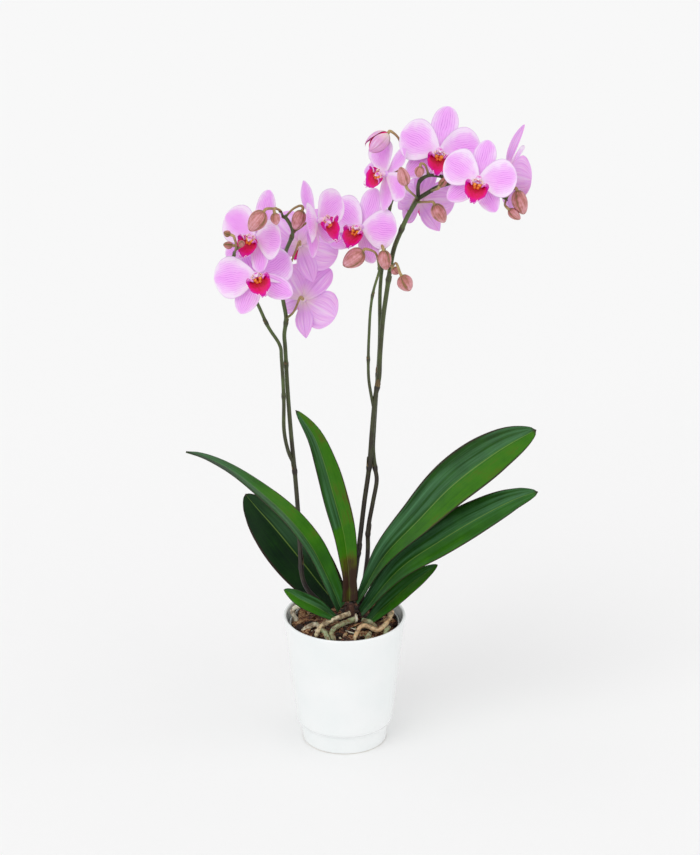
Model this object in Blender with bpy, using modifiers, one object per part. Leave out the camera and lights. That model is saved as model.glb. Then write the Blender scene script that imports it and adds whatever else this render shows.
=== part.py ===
"""Potted moth orchid: a glazed ceramic pot with a grower's pot of bark in it, and a plant with seven leaves,
six roots, three flower stems, eleven open flowers, a half-open one and sixteen buds.

Metres, +Z up. The origin is the centre of the pot's underside. The flowers face -Y, and +X is to their right.
"""

import math

import bmesh
import bpy
from mathutils import Vector

MM = 0.001
GAP = 0.3 * MM  # clearance between two pieces that touch

# Ceramic pot
POT_HEIGHT = 150 * MM
RIM_RADIUS = 67.5 * MM
POT_WALL = 3.6 * MM
POT_FLOOR = 6 * MM
FOOT_RADIUS = 46.5 * MM
FOOT_HEIGHT = 19 * MM
FOOT_FLARE = 1.5 * MM  # the foot's top is this much wider than its underside
FOOT_CHAMFER = 1.2 * MM
STEP_OUT = 5.5 * MM  # how far the rounded shoulder stands out over the foot
STEP_RISE = 9 * MM
POT_SIDES = 40

# Grower's pot and the bark in it
LINER_WALL = 1.0 * MM
LINER_SLACK = 2.5 * MM  # room between the grower's pot and the ceramic wall
LINER_BELOW_RIM = 9 * MM
BARK_BELOW_LINER = 3 * MM
BARK_RELIEF = 1.2 * MM  # the hollows in the bark's top
BARK_LUMPS = 7  # hollows round the axis

# Plant, measured from the top of the bark
PLANT_RISE = 0.60  # from the bark to the highest flower's tip
DRAWN_RISE = 0.60  # the rise that the places below were chosen at
CROWN_RADIUS = 8 * MM
CROWN_HEIGHT = 24 * MM
CROWN_TAPER = 0.6  # the crown's top radius as a share of its foot's
CROWN_AXIS = (6 * MM, 0.0)
LEAF_THICKNESS = 2.2 * MM
LEAF_FOLD = 0.35  # how far a leaf's edges lift over its midrib, as a share of the half width
ROOT_RADIUS = 2.6 * MM
STEM_RADIUS = 2.5 * MM
PEDICEL_RADIUS = 1.1 * MM

# Flowers
TEPAL_THICKNESS = 1.0 * MM
DORSAL = (46 * MM, 27 * MM)  # length and width
PETAL = (44 * MM, 45 * MM)
SEPAL = (43 * MM, 25 * MM)
HUB_RADIUS = 3.2 * MM
HUB_LENGTH = 6 * MM
COLUMN_RADIUS = 2.6 * MM
COLUMN_LENGTH = 9 * MM
LIP_LENGTH = 22 * MM
LIP_WIDTH = 20 * MM
LIP_START = 2 * MM  # how far in front of the column's foot the lip begins
LIP_REACH = 10 * MM  # how much further forward its middle bulges
LIP_TAPER = 0.75  # how much narrower its tip is than its base, as a share

LINER_TOP = POT_HEIGHT - LINER_BELOW_RIM
BARK_TOP = LINER_TOP - BARK_BELOW_LINER
STRETCH = PLANT_RISE / DRAWN_RISE


def place(x, y, z):
    """A point of the plant from millimetres beside the pot's axis and above the bark."""
    return Vector((x * MM, y * MM, BARK_TOP + z * MM * STRETCH))


# name: base to tip along the midrib, width, the share of the length where it is widest, where the upper face
# looks at the base and at the tip
LEAVES = {
    "leaf_right_long": (
        [(14, 3, 24), (43, 6, 78), (82, 12, 121), (120, 20, 160), (168, 30, 195), (209, 38, 217)],
        64, 0.68, (-0.75, -0.35, 0.55), (-0.35, -0.6, 0.7)),
    "leaf_right_wide": (
        [(19, -5, 15), (60, -8, 70), (104, -10, 105), (148, -9, 134), (185, -7, 154), (210, -4, 162)],
        54, 0.60, (-0.6, -0.3, 0.75), (-0.35, -0.5, 0.8)),
    "leaf_right_small": (
        [(24, -12, 5), (45, -8, 25), (73, -3, 50), (102, 1, 72)],
        27, 0.58, (-0.4, -0.5, 0.75), (-0.4, -0.45, 0.75)),
    "leaf_upright": (
        [(5, 2, 27), (4, 8, 62), (-1, 14, 102), (-11, 20, 141), (-22, 26, 181), (-34, 30, 214),
         (-53, 32, 243)],
        32, 0.62, (0.75, -0.65, 0.0), (0.8, -0.5, 0.3)),
    "leaf_left_long": (
        [(-5, -4, 22), (-18, -16, 62), (-36, -26, 106), (-61, -34, 145), (-90, -40, 177), (-121, -44, 205),
         (-150, -46, 222), (-169, -48, 229)],
        36, 0.45, (0.6, -0.6, 0.45), (0.35, 0.4, 0.9)),
    "leaf_left_wide": (
        [(-9, 13, 17), (-28, 23, 38), (-51, 31, 67), (-77, 36, 100), (-96, 40, 122), (-109, 41, 139)],
        60, 0.50, (0.3, -0.7, 0.65), (-0.3, -0.85, 0.4)),
    "leaf_left_small": (
        [(-10, -12, 12), (-29, -22, 30), (-49, -26, 43), (-66, -28, 56)],
        21, 0.58, (0.4, -0.6, 0.7), (0.3, -0.6, 0.7)),
}

# Stems: routes through their middles, with the radius at the end as a share of STEM_RADIUS
LEFT_MAIN = [(-13, 0, 2), (-20, -7, 22), (-39, -4, 42), (-46, -3, 58), (-48, -1, 79), (-50, 0, 126),
             (-54, 0, 186), (-58, 0, 234), (-61, 0, 280), (-63, 0, 327), (-64, -1, 345), (-62, -2, 364),
             (-65, -3, 385), (-67, -4, 403), (-66, -8, 427), (-61, -14, 446), (-54, -24, 470),
             (-60, -30, 487), (-64, -33, 491)]
LEFT_BRANCH = [(-55, 0, 194), (-61, -5, 212), (-65, -8, 237), (-65, -8, 272), (-67, -8, 319),
               (-69, -8, 336), (-81, -8, 357), (-93, -8, 385), (-103, -12, 400), (-114, -24, 420),
               (-118, -38, 440), (-115, -43, 453)]
RIGHT_MAIN = [(6, 19, 2), (12, 25, 50), (17, 24, 93), (22, 17, 143), (27, 7, 189), (30, 0, 234),
              (33, -2, 272), (37, -2, 296), (38, -2, 320), (40, -2, 350), (42, -2, 372), (46, -3, 403),
              (48, -4, 418), (52, -6, 443), (59, -8, 464), (67, -10, 484), (77, -12, 503)]
RIGHT_FORK_UP = [(77, -12, 503), (78, -20, 524), (88, -24, 533), (102, -24, 532)]
RIGHT_FORK_OUT = [(77, -12, 503), (99, -16, 518), (121, -18, 525), (141, -20, 522), (159, -22, 513),
                  (169, -24, 507)]
RIGHT_BRANCH = [(31, -2, 262), (26, -6, 297), (26, -9, 342), (29, -13, 390), (37, -20, 426)]
REAR_MAIN = [(17, 24, 2), (25, 27, 67), (26, 24, 104), (31, 18, 139), (35, 14, 167), (33, 13, 184),
             (31, 11, 206), (32, 10, 230), (34, 8, 268), (37, 7, 316), (38, 6, 347), (38, 6, 394),
             (42, 7, 440), (47, 9, 479), (55, 12, 517), (60, 12, 535)]

# name: middle, where the face looks, where the top points, size, forward bends in degrees of the top sepal,
# the left and right petals and the lower left and right sepals
FLOWERS = {
    "flower_top": ((99, -2, 553), (0.1, -0.9, 0.42), (0.2, 0.2, 1), 1.0, (0, 0, 0, -5, -5)),
    "flower_front_right": ((139, -50, 539), (0.0, -0.88, 0.45), (0.26, 0.2, 1), 0.9, (0, 5, 5, -5, -5)),
    "flower_far_right": ((170, 5, 525), (0.8, 0.5, -0.2), (0.25, 0, 1), 1.0, (0, 0, 0, 0, 0)),
    "flower_under_fork": ((80, 22, 489), (0.4, 0.78, -0.48), (0.25, 0.3, 1), 0.9, (0, 0, 30, 0, 35)),
    "flower_side": ((44, 4, 525), (-0.9, -0.4, 0.15), (0.05, 0, 1), 0.85, (0, 0, 0, 0, 0)),
    "flower_middle": ((18, 2, 466), (-0.42, -0.8, 0.4), (0.2, 0, 1), 0.95, (0, 0, 0, 0, 0)),
    "flower_left_high": ((-93, -34, 468), (-0.45, -0.82, 0.28), (0.2, 0, 1), 0.95, (0, 0, 20, 0, 20)),
    "flower_left_low": ((-92, -56, 434), (0.0, -0.86, 0.5), (-0.31, 0, 1), 1.0, (-45, 0, -20, -5, -5)),
    "flower_profile": ((-28, -30, 485), (0.85, -0.45, 0.25), (-0.1, 0, 1), 0.95, (0, 15, 15, 0, 0)),
    "flower_back_high": ((-47, 18, 440), (0.1, 0.85, -0.5), (0.45, 0, 0.9), 0.95, (0, 0, 0, 0, 0)),
    "flower_back_low": ((-43, 5, 383), (0.35, 0.75, -0.45), (0.6, 0, 0.8), 0.95, (0, 0, 0, 0, 35)),
}
# name of the flower: the stem it hangs on and the route of its pedicel up to the last stretch
FLOWER_PEDICELS = {
    "flower_top": ("stem_right", [(102, -24, 532), (103, -14, 522), (101, 4, 530)]),
    "flower_front_right": ("stem_right", [(121, -18, 525)]),
    "flower_far_right": ("stem_right", [(159, -22, 513), (161, -10, 516)]),
    "flower_under_fork": ("stem_right", [(67, -10, 484), (71, -2, 492)]),
    "flower_side": ("stem_rear", [(60, 12, 535)]),
    "flower_middle": ("stem_rear", [(43, 7, 446), (33, 14, 456)]),
    "flower_left_high": ("stem_left", [(-66, -8, 427), (-80, -8, 450)]),
    "flower_left_low": ("stem_left", [(-93, -8, 385), (-92, -18, 410)]),
    "flower_profile": ("stem_left", [(-54, -24, 470), (-46, -26, 476)]),
    "flower_back_high": ("stem_left", [(-67, -4, 403), (-58, -4, 424)]),
    "flower_back_low": ("stem_left", [(-62, -2, 364), (-54, -9, 374)]),
}

# name: base, tip, width, the stem it hangs on and the route of its pedicel
BUDS = {
    "bud_left_large": ((-83, -62, 507), (-98, -62, 486), 18, "stem_left",
                       [(-64, -33, 491), (-67, -46, 503), (-75, -58, 509)]),
    "bud_left_small": ((-72, -58, 504), (-70, -58, 491), 10, "stem_left", [(-66, -42, 500), (-71, -54, 508)]),
    "bud_left_high": ((-44, -37, 499), (-52, -37, 478), 14, "stem_left",
                      [(-62, -32, 489), (-54, -34, 499), (-46, -36, 504)]),
    "bud_tip_high": ((-118, -58, 480), (-125, -58, 483), 7, "stem_left",
                     [(-115, -43, 453), (-112, -52, 464), (-114, -57, 476)]),
    "bud_tip_low": ((-116, -50, 465), (-126, -50, 466), 8, "stem_left", [(-115, -42, 450), (-113, -47, 461)]),
    "bud_tip_inner": ((-107, -56, 468), (-106, -62, 474), 7, "stem_left", [(-112, -50, 461)]),
    "bud_middle_large": ((20, -26, 450), (-1, -26, 433), 19, "stem_right", [(37, -20, 426), (33, -26, 447)]),
    "bud_middle_upper": ((41, -30, 452), (44, -30, 430), 14, "stem_right", [(48, -4, 418), (40, -22, 452)]),
    "bud_middle_tiny": ((51, -26, 431), (57, -26, 424), 9, "stem_right", [(48, -4, 418), (44, -16, 432)]),
    "bud_middle_lower": ((60, -36, 426), (69, -36, 409), 16, "stem_right", [(48, -4, 418), (54, -28, 437)]),
    "bud_fork_left": ((64, -46, 530), (58, -46, 550), 13, "stem_right", [(77, -12, 503), (69, -36, 519)]),
    "bud_fork_small": ((79, -30, 545), (77, -30, 533), 10, "stem_right", [(88, -24, 533), (84, -29, 546)]),
    "bud_fork_right": ((94, -24, 501), (105, -24, 481), 15, "stem_right", [(75, -12, 499), (86, -22, 503)]),
    "bud_fork_hidden": ((99, -30, 523), (107, -30, 533), 8, "stem_right", [(90, -14, 512)]),
    "bud_end_large": ((179, -40, 522), (187, -40, 496), 16, "stem_right", [(169, -24, 507), (173, -36, 520)]),
    "bud_end_small": ((171, -44, 503), (183, -44, 492), 10, "stem_right", [(169, -24, 507), (167, -38, 506)]),
    "flower_half_open": ((46, 9, 568), (25, 6, 551), 18, "stem_rear", [(60, 12, 535), (58, 14, 558)]),
}

# name: route over the bark, with heights of the root's middle above the bark
ROOTS = {
    "root_left_stub": [(-46, 8, 4), (-52, 10, 10), (-60, 8, 22)],
    "root_cream": [(-6, -14, 6), (-14, -22, 5), (-30, -26, 4), (-35, -36, 5), (-33, -44, 4)],
    "root_grey_loop": [(2, -17, 7), (-6, -30, 9), (-20, -36, 8), (-22, -46, 5), (-12, -52, 4)],
    "root_tan_arch": [(46, -8, 4), (38, -21, 5), (28, -28, 8), (14, -29, 9), (6, -38, 8), (4, -50, 4)],
    "root_pale_green": [(12, -15, 4), (17, -19, 3), (21, -22, 3)],
    "root_front_stub": [(16, -40, 4), (17, -46, 5), (17, -52, 4)],
}


def clear_scene():
    for old in list(bpy.data.objects):
        bpy.data.objects.remove(old, do_unlink=True)


def collection(name, parent=None):
    made = bpy.data.collections.new(name)
    (parent or bpy.context.scene.collection).children.link(made)
    return made


def finish(name, colour, roughness):
    """A Principled material from an sRGB colour."""
    made = bpy.data.materials.new(name)
    made.use_nodes = True
    shader = made.node_tree.nodes["Principled BSDF"]
    shader.inputs["Base Color"].default_value = [c ** 2.2 for c in colour] + [1.0]
    shader.inputs["Roughness"].default_value = roughness
    return made


def add(name, mesh, material, where):
    made = bpy.data.objects.new(name, mesh)
    where.objects.link(made)
    made.data.materials.append(material)
    made.data.shade_smooth()
    return made


def solidify(thing, thickness):
    shell = thing.modifiers.new("thickness", "SOLIDIFY")
    shell.thickness = thickness
    shell.offset = 0.0


def turned(name, profile, material, where, steps=POT_SIDES):
    """A solid of revolution about Z; the profile runs up the inside and down the outside."""
    bm = bmesh.new()
    points = [bm.verts.new((radius, 0.0, height)) for radius, height in profile]
    for first, second in zip(points, points[1:]):
        bm.edges.new((first, second))
    mesh = bpy.data.meshes.new(name)
    bm.to_mesh(mesh)
    bm.free()
    made = add(name, mesh, material, where)
    screw = made.modifiers.new("turn", "SCREW")
    screw.steps = screw.render_steps = steps
    screw.use_merge_vertices = True
    screw.merge_threshold = 0.01 * MM
    return made


def arc(centre, radius, start, end, count):
    """Points of a round stretch of a profile, angles in degrees."""
    turns = [math.radians(start + (end - start) * i / count) for i in range(count + 1)]
    return [(centre[0] + radius * math.cos(a), centre[1] + radius * math.sin(a)) for a in turns]


def smooth_route(points, spacing):
    """Points about this far apart on a Catmull-Rom curve through the given ones."""
    ends = [points[0] * 2 - points[1]] + list(points) + [points[-1] * 2 - points[-2]]
    route = [points[0].copy()]
    for before, a, b, after in zip(ends, ends[1:], ends[2:], ends[3:]):
        count = max(1, round((b - a).length / spacing))
        for i in range(1, count + 1):
            t = i / count
            route.append(0.5 * (a * 2 + (b - before) * t + (before * 2 - a * 5 + b * 4 - after) * t * t
                                + (a * 3 - before - b * 3 + after) * t ** 3))
    return route


def tube(name, points, radius, end_share, material, where):
    """A tube along the points, tapering to end_share of its radius, as a mesh with welded caps."""
    curve = bpy.data.curves.new(name, "CURVE")
    curve.dimensions = "3D"
    curve.bevel_depth = radius
    curve.bevel_resolution = 2
    curve.use_fill_caps = True
    spline = curve.splines.new("POLY")
    spline.points.add(len(points) - 1)
    for i, (target, point) in enumerate(zip(spline.points, points)):
        target.co = (*point, 1.0)
        target.radius = 1.0 + (end_share - 1.0) * i / (len(points) - 1)
    drawn = bpy.data.objects.new(name, curve)
    where.objects.link(drawn)
    bpy.context.view_layer.update()
    mesh = bpy.data.meshes.new_from_object(drawn.evaluated_get(bpy.context.evaluated_depsgraph_get()))
    bpy.data.objects.remove(drawn)
    bm = bmesh.new()
    bm.from_mesh(mesh)
    bmesh.ops.remove_doubles(bm, verts=bm.verts, dist=0.01 * MM)
    bm.to_mesh(mesh)
    bm.free()
    mesh.name = name
    mesh.materials.clear()
    return add(name, mesh, material, where)


def joined(base, pieces):
    """One solid of the base and the pieces, which stay as hidden tools."""
    for piece in pieces:
        piece.hide_render = True
        piece.display_type = "WIRE"
        union = base.modifiers.new("join " + piece.name, "BOOLEAN")
        union.operation = "UNION"
        union.object = piece


def blade(name, along, across, surface, thickness, material, where):
    """A thin blade: a grid whose points surface(s, t) places, s from base to tip and t from edge to edge."""
    bm = bmesh.new()
    bmesh.ops.create_grid(bm, x_segments=along, y_segments=across, size=0.5)
    for point in bm.verts:
        point.co = surface(point.co.x + 0.5, point.co.y * 2.0)
    mesh = bpy.data.meshes.new(name)
    bm.to_mesh(mesh)
    bm.free()
    made = add(name, mesh, material, where)
    solidify(made, thickness)
    return made


def rounded(s, peak, squareness):
    """A blade's half width at s as a share of the widest, with a narrow base and tip."""
    power = math.log(0.5) / math.log(peak)
    return math.sin(math.pi * min(max(s, 0.0), 1.0) ** power) ** squareness


def leaf(name, spec, material, where):
    points, width, widest, face_base, face_tip = spec
    route = smooth_route([place(*p) for p in points], 8 * MM)

    def surface(s, t):
        spot = s * (len(route) - 1)
        i = min(int(spot), len(route) - 2)
        middle = route[i].lerp(route[i + 1], spot - i)
        ahead = (route[min(i + 2, len(route) - 1)] - route[max(i - 1, 0)]).normalized()
        face = Vector(face_base).lerp(Vector(face_tip), s)
        side = face.cross(ahead).normalized()
        face = ahead.cross(side)
        half = 0.5 * width * MM * max(rounded(0.10 + 0.90 * s, widest, 0.62), 0.07)
        fold = LEAF_FOLD * (1.0 - 0.6 * s)
        return middle + side * half * t + face * half * fold * abs(t)

    return blade(name, 10, 4, surface, LEAF_THICKNESS, material, where)


def frame_of(face, up):
    """The flower's own axes: where it faces, its top and its right."""
    face = Vector(face).normalized()
    up = Vector(up)
    up = (up - face * up.dot(face)).normalized()
    return face, up, up.cross(face)


def tepal(name, middle, axes, angle, size, bend, across, peak, squareness, material, where):
    """One petal or sepal that points at this angle from the flower's top, bent forward by bend degrees."""
    face, up, right = axes
    length, width = size
    turn, lift = math.radians(angle), math.radians(bend)
    out = up * math.cos(turn) + right * math.sin(turn)
    side = right * math.cos(turn) - up * math.sin(turn)
    ahead = out * math.cos(lift) + face * math.sin(lift)
    front = face * math.cos(lift) - out * math.sin(lift)

    def surface(s, t):
        half = 0.5 * width * max(rounded(s, peak, squareness), 0.13)
        hollow = 0.08 * length * math.sin(math.pi * s)
        return middle + ahead * length * s + side * half * t - front * (hollow - 0.12 * half * t * t)

    return blade(name, 4, across, surface, TEPAL_THICKNESS, material, where)


def rod(name, start, end, radius, material, where, sides=8):
    """A straight round piece between two points."""
    bm = bmesh.new()
    bmesh.ops.create_cone(bm, cap_ends=True, segments=sides, radius1=radius, radius2=radius,
                          depth=(end - start).length)
    turn = (end - start).to_track_quat("Z", "Y")
    for point in bm.verts:
        point.co = turn @ point.co + (start + end) / 2
    mesh = bpy.data.meshes.new(name)
    bm.to_mesh(mesh)
    bm.free()
    return add(name, mesh, material, where)


# part, angle from the flower's top, size, cells across, where it is widest, how square its outline is, and
# how far forward it starts in millimetres
TEPALS = [
    ("top", 0, DORSAL, 2, 0.55, 0.75, -1.2),
    ("left", -75, PETAL, 4, 0.6, 0.55, 0.5),
    ("right", 75, PETAL, 4, 0.6, 0.55, 0.8),
    ("low_left", -138, SEPAL, 2, 0.5, 0.8, -0.8),
    ("low_right", 138, SEPAL, 2, 0.5, 0.8, -1.0),
]


def flower(name, spec, materials, where, tools):
    centre, face, up, size, bends = spec
    middle = place(*centre)
    axes = frame_of(face, up)
    face, up, right = axes
    hub = rod(name + "_tepals", middle - face * HUB_LENGTH * 0.6, middle + face * HUB_LENGTH * 0.4,
              HUB_RADIUS, materials["petal"], where)
    blades = []
    for bend, (part, angle, (length, width), across, peak, squareness, forward) in zip(bends, TEPALS):
        start = middle + face * forward * MM
        blades.append(tepal(f"{name}_{part}", start, axes, angle, (length * size, width * size), bend,
                            across, peak, squareness, materials["petal"], tools))
    joined(hub, blades)

    foot = middle + face * (HUB_LENGTH * 0.4 + GAP)
    column = rod(name + "_lip", foot, foot + face * COLUMN_LENGTH * size, COLUMN_RADIUS * size,
                 materials["lip"], where)

    def trough(s, t):
        half = 0.5 * LIP_WIDTH * size * (1.0 - LIP_TAPER * s * s)
        reach = foot + face * (LIP_START + LIP_REACH * math.sin(math.pi * 0.75 * s)) * size
        drop = up * (1.0 * MM + LIP_LENGTH * s) * size
        raised = face * 0.75 * half * abs(t) ** 1.5 * (1 - s)  # the side lobes stand up beside the column
        return reach - drop + right * half * t + raised

    lip = blade(name + "_trough", 4, 4, trough, TEPAL_THICKNESS, materials["lip"], tools)
    joined(column, [lip])


def egg(name, base, tip, width, material, where):
    """A bud: rounded at its base and narrower at its tip."""
    length = (tip - base).length
    turn = (tip - base).to_track_quat("Z", "Y")
    bm = bmesh.new()
    bmesh.ops.create_uvsphere(bm, u_segments=8, v_segments=6, radius=0.5)
    for point in bm.verts:
        slim = 1.0 - 0.25 * (point.co.z + 0.5)
        point.co = turn @ Vector((point.co.x * width * slim, point.co.y * width * slim, point.co.z * length))
        point.co += (base + tip) / 2
    mesh = bpy.data.meshes.new(name)
    bm.to_mesh(mesh)
    bm.free()
    return add(name, mesh, material, where)


def pot(material, where):
    shoulder = FOOT_RADIUS + FOOT_FLARE + STEP_OUT
    lip = POT_WALL / 2
    slope = (RIM_RADIUS - shoulder) / (POT_HEIGHT - FOOT_HEIGHT - STEP_RISE)
    inner_foot = FOOT_RADIUS - POT_WALL
    inner_shoulder = shoulder - POT_WALL
    profile = [(0.0, POT_FLOOR), (inner_foot, POT_FLOOR), (inner_foot + FOOT_FLARE, FOOT_HEIGHT),
               (inner_shoulder, FOOT_HEIGHT + STEP_RISE)]
    profile += arc((RIM_RADIUS - lip, POT_HEIGHT - lip), lip, 180, 0, 4)
    profile += [(shoulder + slope * 2 * MM, FOOT_HEIGHT + STEP_RISE + 2 * MM)]
    profile += arc((shoulder - STEP_OUT, FOOT_HEIGHT + STEP_RISE), STEP_OUT, 0, -70, 3)
    profile += [(FOOT_RADIUS + FOOT_FLARE, FOOT_HEIGHT), (FOOT_RADIUS, FOOT_CHAMFER),
                (FOOT_RADIUS - FOOT_CHAMFER, 0.0), (0.0, 0.0)]
    return turned("pot", profile, material, where)


def wall_inside(height):
    """The ceramic pot's inner radius at a height above its shoulder."""
    low, high = FOOT_HEIGHT + STEP_RISE, POT_HEIGHT
    start = FOOT_RADIUS + FOOT_FLARE + STEP_OUT - POT_WALL
    return start + (RIM_RADIUS - POT_WALL - start) * (height - low) / (high - low)


LINER_FLOOR = POT_FLOOR + GAP
LINER_LOW = FOOT_RADIUS - POT_WALL - 2 * GAP
LINER_HIGH = wall_inside(LINER_TOP) - LINER_SLACK


def liner(material, where):
    inner_low, inner_high = LINER_LOW - LINER_WALL, LINER_HIGH - LINER_WALL
    profile = [(0.0, LINER_FLOOR + LINER_WALL), (inner_low, LINER_FLOOR + LINER_WALL),
               (inner_high, LINER_TOP), (LINER_HIGH, LINER_TOP), (LINER_LOW, LINER_FLOOR), (0.0, LINER_FLOOR)]
    return turned("growers_pot", profile, material, where, 32)


def bark(material, where):
    floor = LINER_FLOOR + LINER_WALL + GAP
    low = LINER_LOW - LINER_WALL - GAP
    slope = (LINER_HIGH - LINER_LOW) / (LINER_TOP - LINER_FLOOR)
    high = LINER_HIGH - LINER_WALL - GAP - slope * (LINER_TOP - BARK_TOP)
    rings = [(high * share, BARK_TOP) for share in (0.0, 0.25, 0.5, 0.75, 1.0)]
    profile = rings + [(low, floor), (0.0, floor)]
    made = turned("bark_mix", profile, material, where, 32)
    bpy.context.view_layer.update()
    mesh = bpy.data.meshes.new_from_object(made.evaluated_get(bpy.context.evaluated_depsgraph_get()))
    made.modifiers.clear()
    made.data = mesh
    for point in mesh.vertices:
        radius = math.hypot(point.co.x, point.co.y)
        if point.co.z > BARK_TOP - 0.1 * MM and radius > 0.4 * high:
            turn = math.atan2(point.co.y, point.co.x)
            wave = math.sin(BARK_LUMPS * turn + 60 * radius / high)
            point.co.z -= BARK_RELIEF * (0.5 + 0.5 * wave)
    return made


def crown(material, where):
    x, y = CROWN_AXIS
    low = BARK_TOP + GAP
    bm = bmesh.new()
    bmesh.ops.create_cone(bm, cap_ends=True, segments=16, radius1=CROWN_RADIUS,
                          radius2=CROWN_TAPER * CROWN_RADIUS, depth=CROWN_HEIGHT)
    for point in bm.verts:
        point.co += Vector((x, y, low + CROWN_HEIGHT / 2))
    mesh = bpy.data.meshes.new("crown")
    bm.to_mesh(mesh)
    bm.free()
    return add("crown", mesh, material, where)


def stems(materials, where, tools):
    """The three flower stems, each with its branches and pedicels joined to it."""
    step = 20 * MM
    trunks = {"stem_left": LEFT_MAIN, "stem_right": RIGHT_MAIN, "stem_rear": REAR_MAIN}
    branches = {"stem_left": [("branch_left", LEFT_BRANCH, 0.8)],
                "stem_right": [("fork_up", RIGHT_FORK_UP, 0.75), ("fork_out", RIGHT_FORK_OUT, 0.85),
                               ("branch_right", RIGHT_BRANCH, 0.65)],
                "stem_rear": []}
    for name, route in trunks.items():
        points = smooth_route([place(*p) for p in route], step)
        trunk = tube(name, points, STEM_RADIUS, 0.75, materials["stem"], where)
        pieces = []
        for branch, line, share in branches[name]:
            path = smooth_route([place(*p) for p in line], step)
            pieces.append(tube(branch, path, STEM_RADIUS * share, 0.8, materials["stem"], tools))
        for flower_name, (stem, line) in FLOWER_PEDICELS.items():
            if stem == name:
                centre, face, up = FLOWERS[flower_name][:3]
                face = frame_of(face, up)[0]
                end = place(*centre) - face * (HUB_LENGTH * 0.6 + GAP)
                path = smooth_route([place(*p) for p in line] + [end - face * 7 * MM, end], 12 * MM)
                pieces.append(tube("pedicel_" + flower_name, path, PEDICEL_RADIUS * 1.2, 1.0,
                                   materials["stem"], tools))
        for bud_name, (base, tip, width, stem, line) in BUDS.items():
            if stem == name:
                base, tip = place(*base), place(*tip)
                along = (tip - base).normalized()
                end = base - along * GAP
                path = smooth_route([place(*p) for p in line] + [end - along * 3 * MM, end], 12 * MM)
                pieces.append(tube("pedicel_" + bud_name, path, PEDICEL_RADIUS, 1.0,
                                   materials["stem"], tools))
        joined(trunk, pieces)


def main():
    clear_scene()
    where = collection("potted_orchid")
    tools = collection("tools")
    materials = {
        "ceramic": finish("white_glaze", (0.95, 0.95, 0.94), 0.15),
        "plastic": finish("grey_plastic", (0.55, 0.56, 0.55), 0.4),
        "bark": finish("bark", (0.36, 0.22, 0.14), 0.9),
        "leaf": finish("leaf_green", (0.16, 0.34, 0.10), 0.35),
        "crown": finish("crown_brown", (0.33, 0.19, 0.16), 0.6),
        "root": finish("root_skin", (0.66, 0.60, 0.45), 0.7),
        "stem": finish("stem_skin", (0.25, 0.22, 0.13), 0.5),
        "petal": finish("petal_lilac", (0.93, 0.68, 0.93), 0.5),
        "lip": finish("lip_magenta", (0.83, 0.0, 0.45), 0.4),
        "bud": finish("bud_pink", (0.72, 0.50, 0.49), 0.5),
    }
    pot(materials["ceramic"], where)
    liner(materials["plastic"], where)
    bark(materials["bark"], where)
    crown(materials["crown"], where)
    for name, spec in LEAVES.items():
        leaf(name, spec, materials["leaf"], where)
    for name, route in ROOTS.items():
        points = smooth_route([place(*p) + Vector((0, 0, GAP)) for p in route], 7 * MM)
        tube(name, points, ROOT_RADIUS, 0.8, materials["root"], where)
    stems(materials, where, tools)
    for name, spec in FLOWERS.items():
        flower(name, spec, materials, where, tools)
    for name, spec in BUDS.items():
        base, tip, width = spec[:3]
        egg(name, place(*base), place(*tip), width * MM, materials["bud"], where)


main()
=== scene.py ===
"""Potted moth orchid: a white glazed pot with a grower's pot of bark in it, seven leaves, aerial roots, three flower
stems, eleven open flowers, a half-open one and sixteen buds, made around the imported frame.

Metres, +Z up, in the frame's own axes. The flowers face -Y.
"""

import math
import random

import bmesh
import bpy
from mathutils import Matrix, Vector, noise


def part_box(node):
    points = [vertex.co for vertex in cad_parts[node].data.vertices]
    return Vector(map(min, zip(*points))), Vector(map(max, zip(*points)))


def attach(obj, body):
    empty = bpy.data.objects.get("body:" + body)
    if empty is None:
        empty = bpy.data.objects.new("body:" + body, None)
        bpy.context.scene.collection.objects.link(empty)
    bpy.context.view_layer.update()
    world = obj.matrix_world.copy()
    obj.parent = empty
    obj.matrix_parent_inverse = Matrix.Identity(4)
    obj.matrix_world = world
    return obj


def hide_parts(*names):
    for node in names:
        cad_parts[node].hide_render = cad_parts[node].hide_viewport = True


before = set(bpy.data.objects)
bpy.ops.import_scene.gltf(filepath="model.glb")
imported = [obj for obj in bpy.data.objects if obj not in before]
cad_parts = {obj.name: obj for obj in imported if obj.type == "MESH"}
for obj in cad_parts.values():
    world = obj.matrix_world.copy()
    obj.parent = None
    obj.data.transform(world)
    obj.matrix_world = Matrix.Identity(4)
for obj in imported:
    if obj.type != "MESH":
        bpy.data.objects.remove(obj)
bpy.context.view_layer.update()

MM = 0.001
GAP = 0.3 * MM

# Sizes read from the frame
POT_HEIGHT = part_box("pot")[1].z
RIM_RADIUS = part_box("pot")[1].x
LINER_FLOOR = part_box("growers_pot")[0].z
LINER_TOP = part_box("growers_pot")[1].z
LINER_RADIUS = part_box("growers_pot")[1].x
BARK_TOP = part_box("bark_mix")[1].z
BARK_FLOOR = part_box("bark_mix")[0].z
BARK_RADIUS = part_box("bark_mix")[1].x

# Pot
POT_WALL = 3.6 * MM
POT_FLOOR = 6 * MM
FOOT_RADIUS = 46.5 * MM
FOOT_HEIGHT = 19 * MM
FOOT_FLARE = 1.5 * MM
STEP_OUT = 5.5 * MM
STEP_RISE = 9 * MM

# Plant
LEAF_THICKNESS = 2.2 * MM
LEAF_FOLD = 0.35
ROOT_RADIUS = 2.6 * MM
STEM_RADIUS = 2.5 * MM
PEDICEL_RADIUS = 1.1 * MM
TEPAL_THICKNESS = 0.9 * MM
HUB_RADIUS = 3.2 * MM
HUB_LENGTH = 6 * MM


def place(x, y, z):
    """A point of the plant from millimetres beside the pot's axis and above the bark."""
    return Vector((x * MM, y * MM, BARK_TOP + z * MM))


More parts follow.
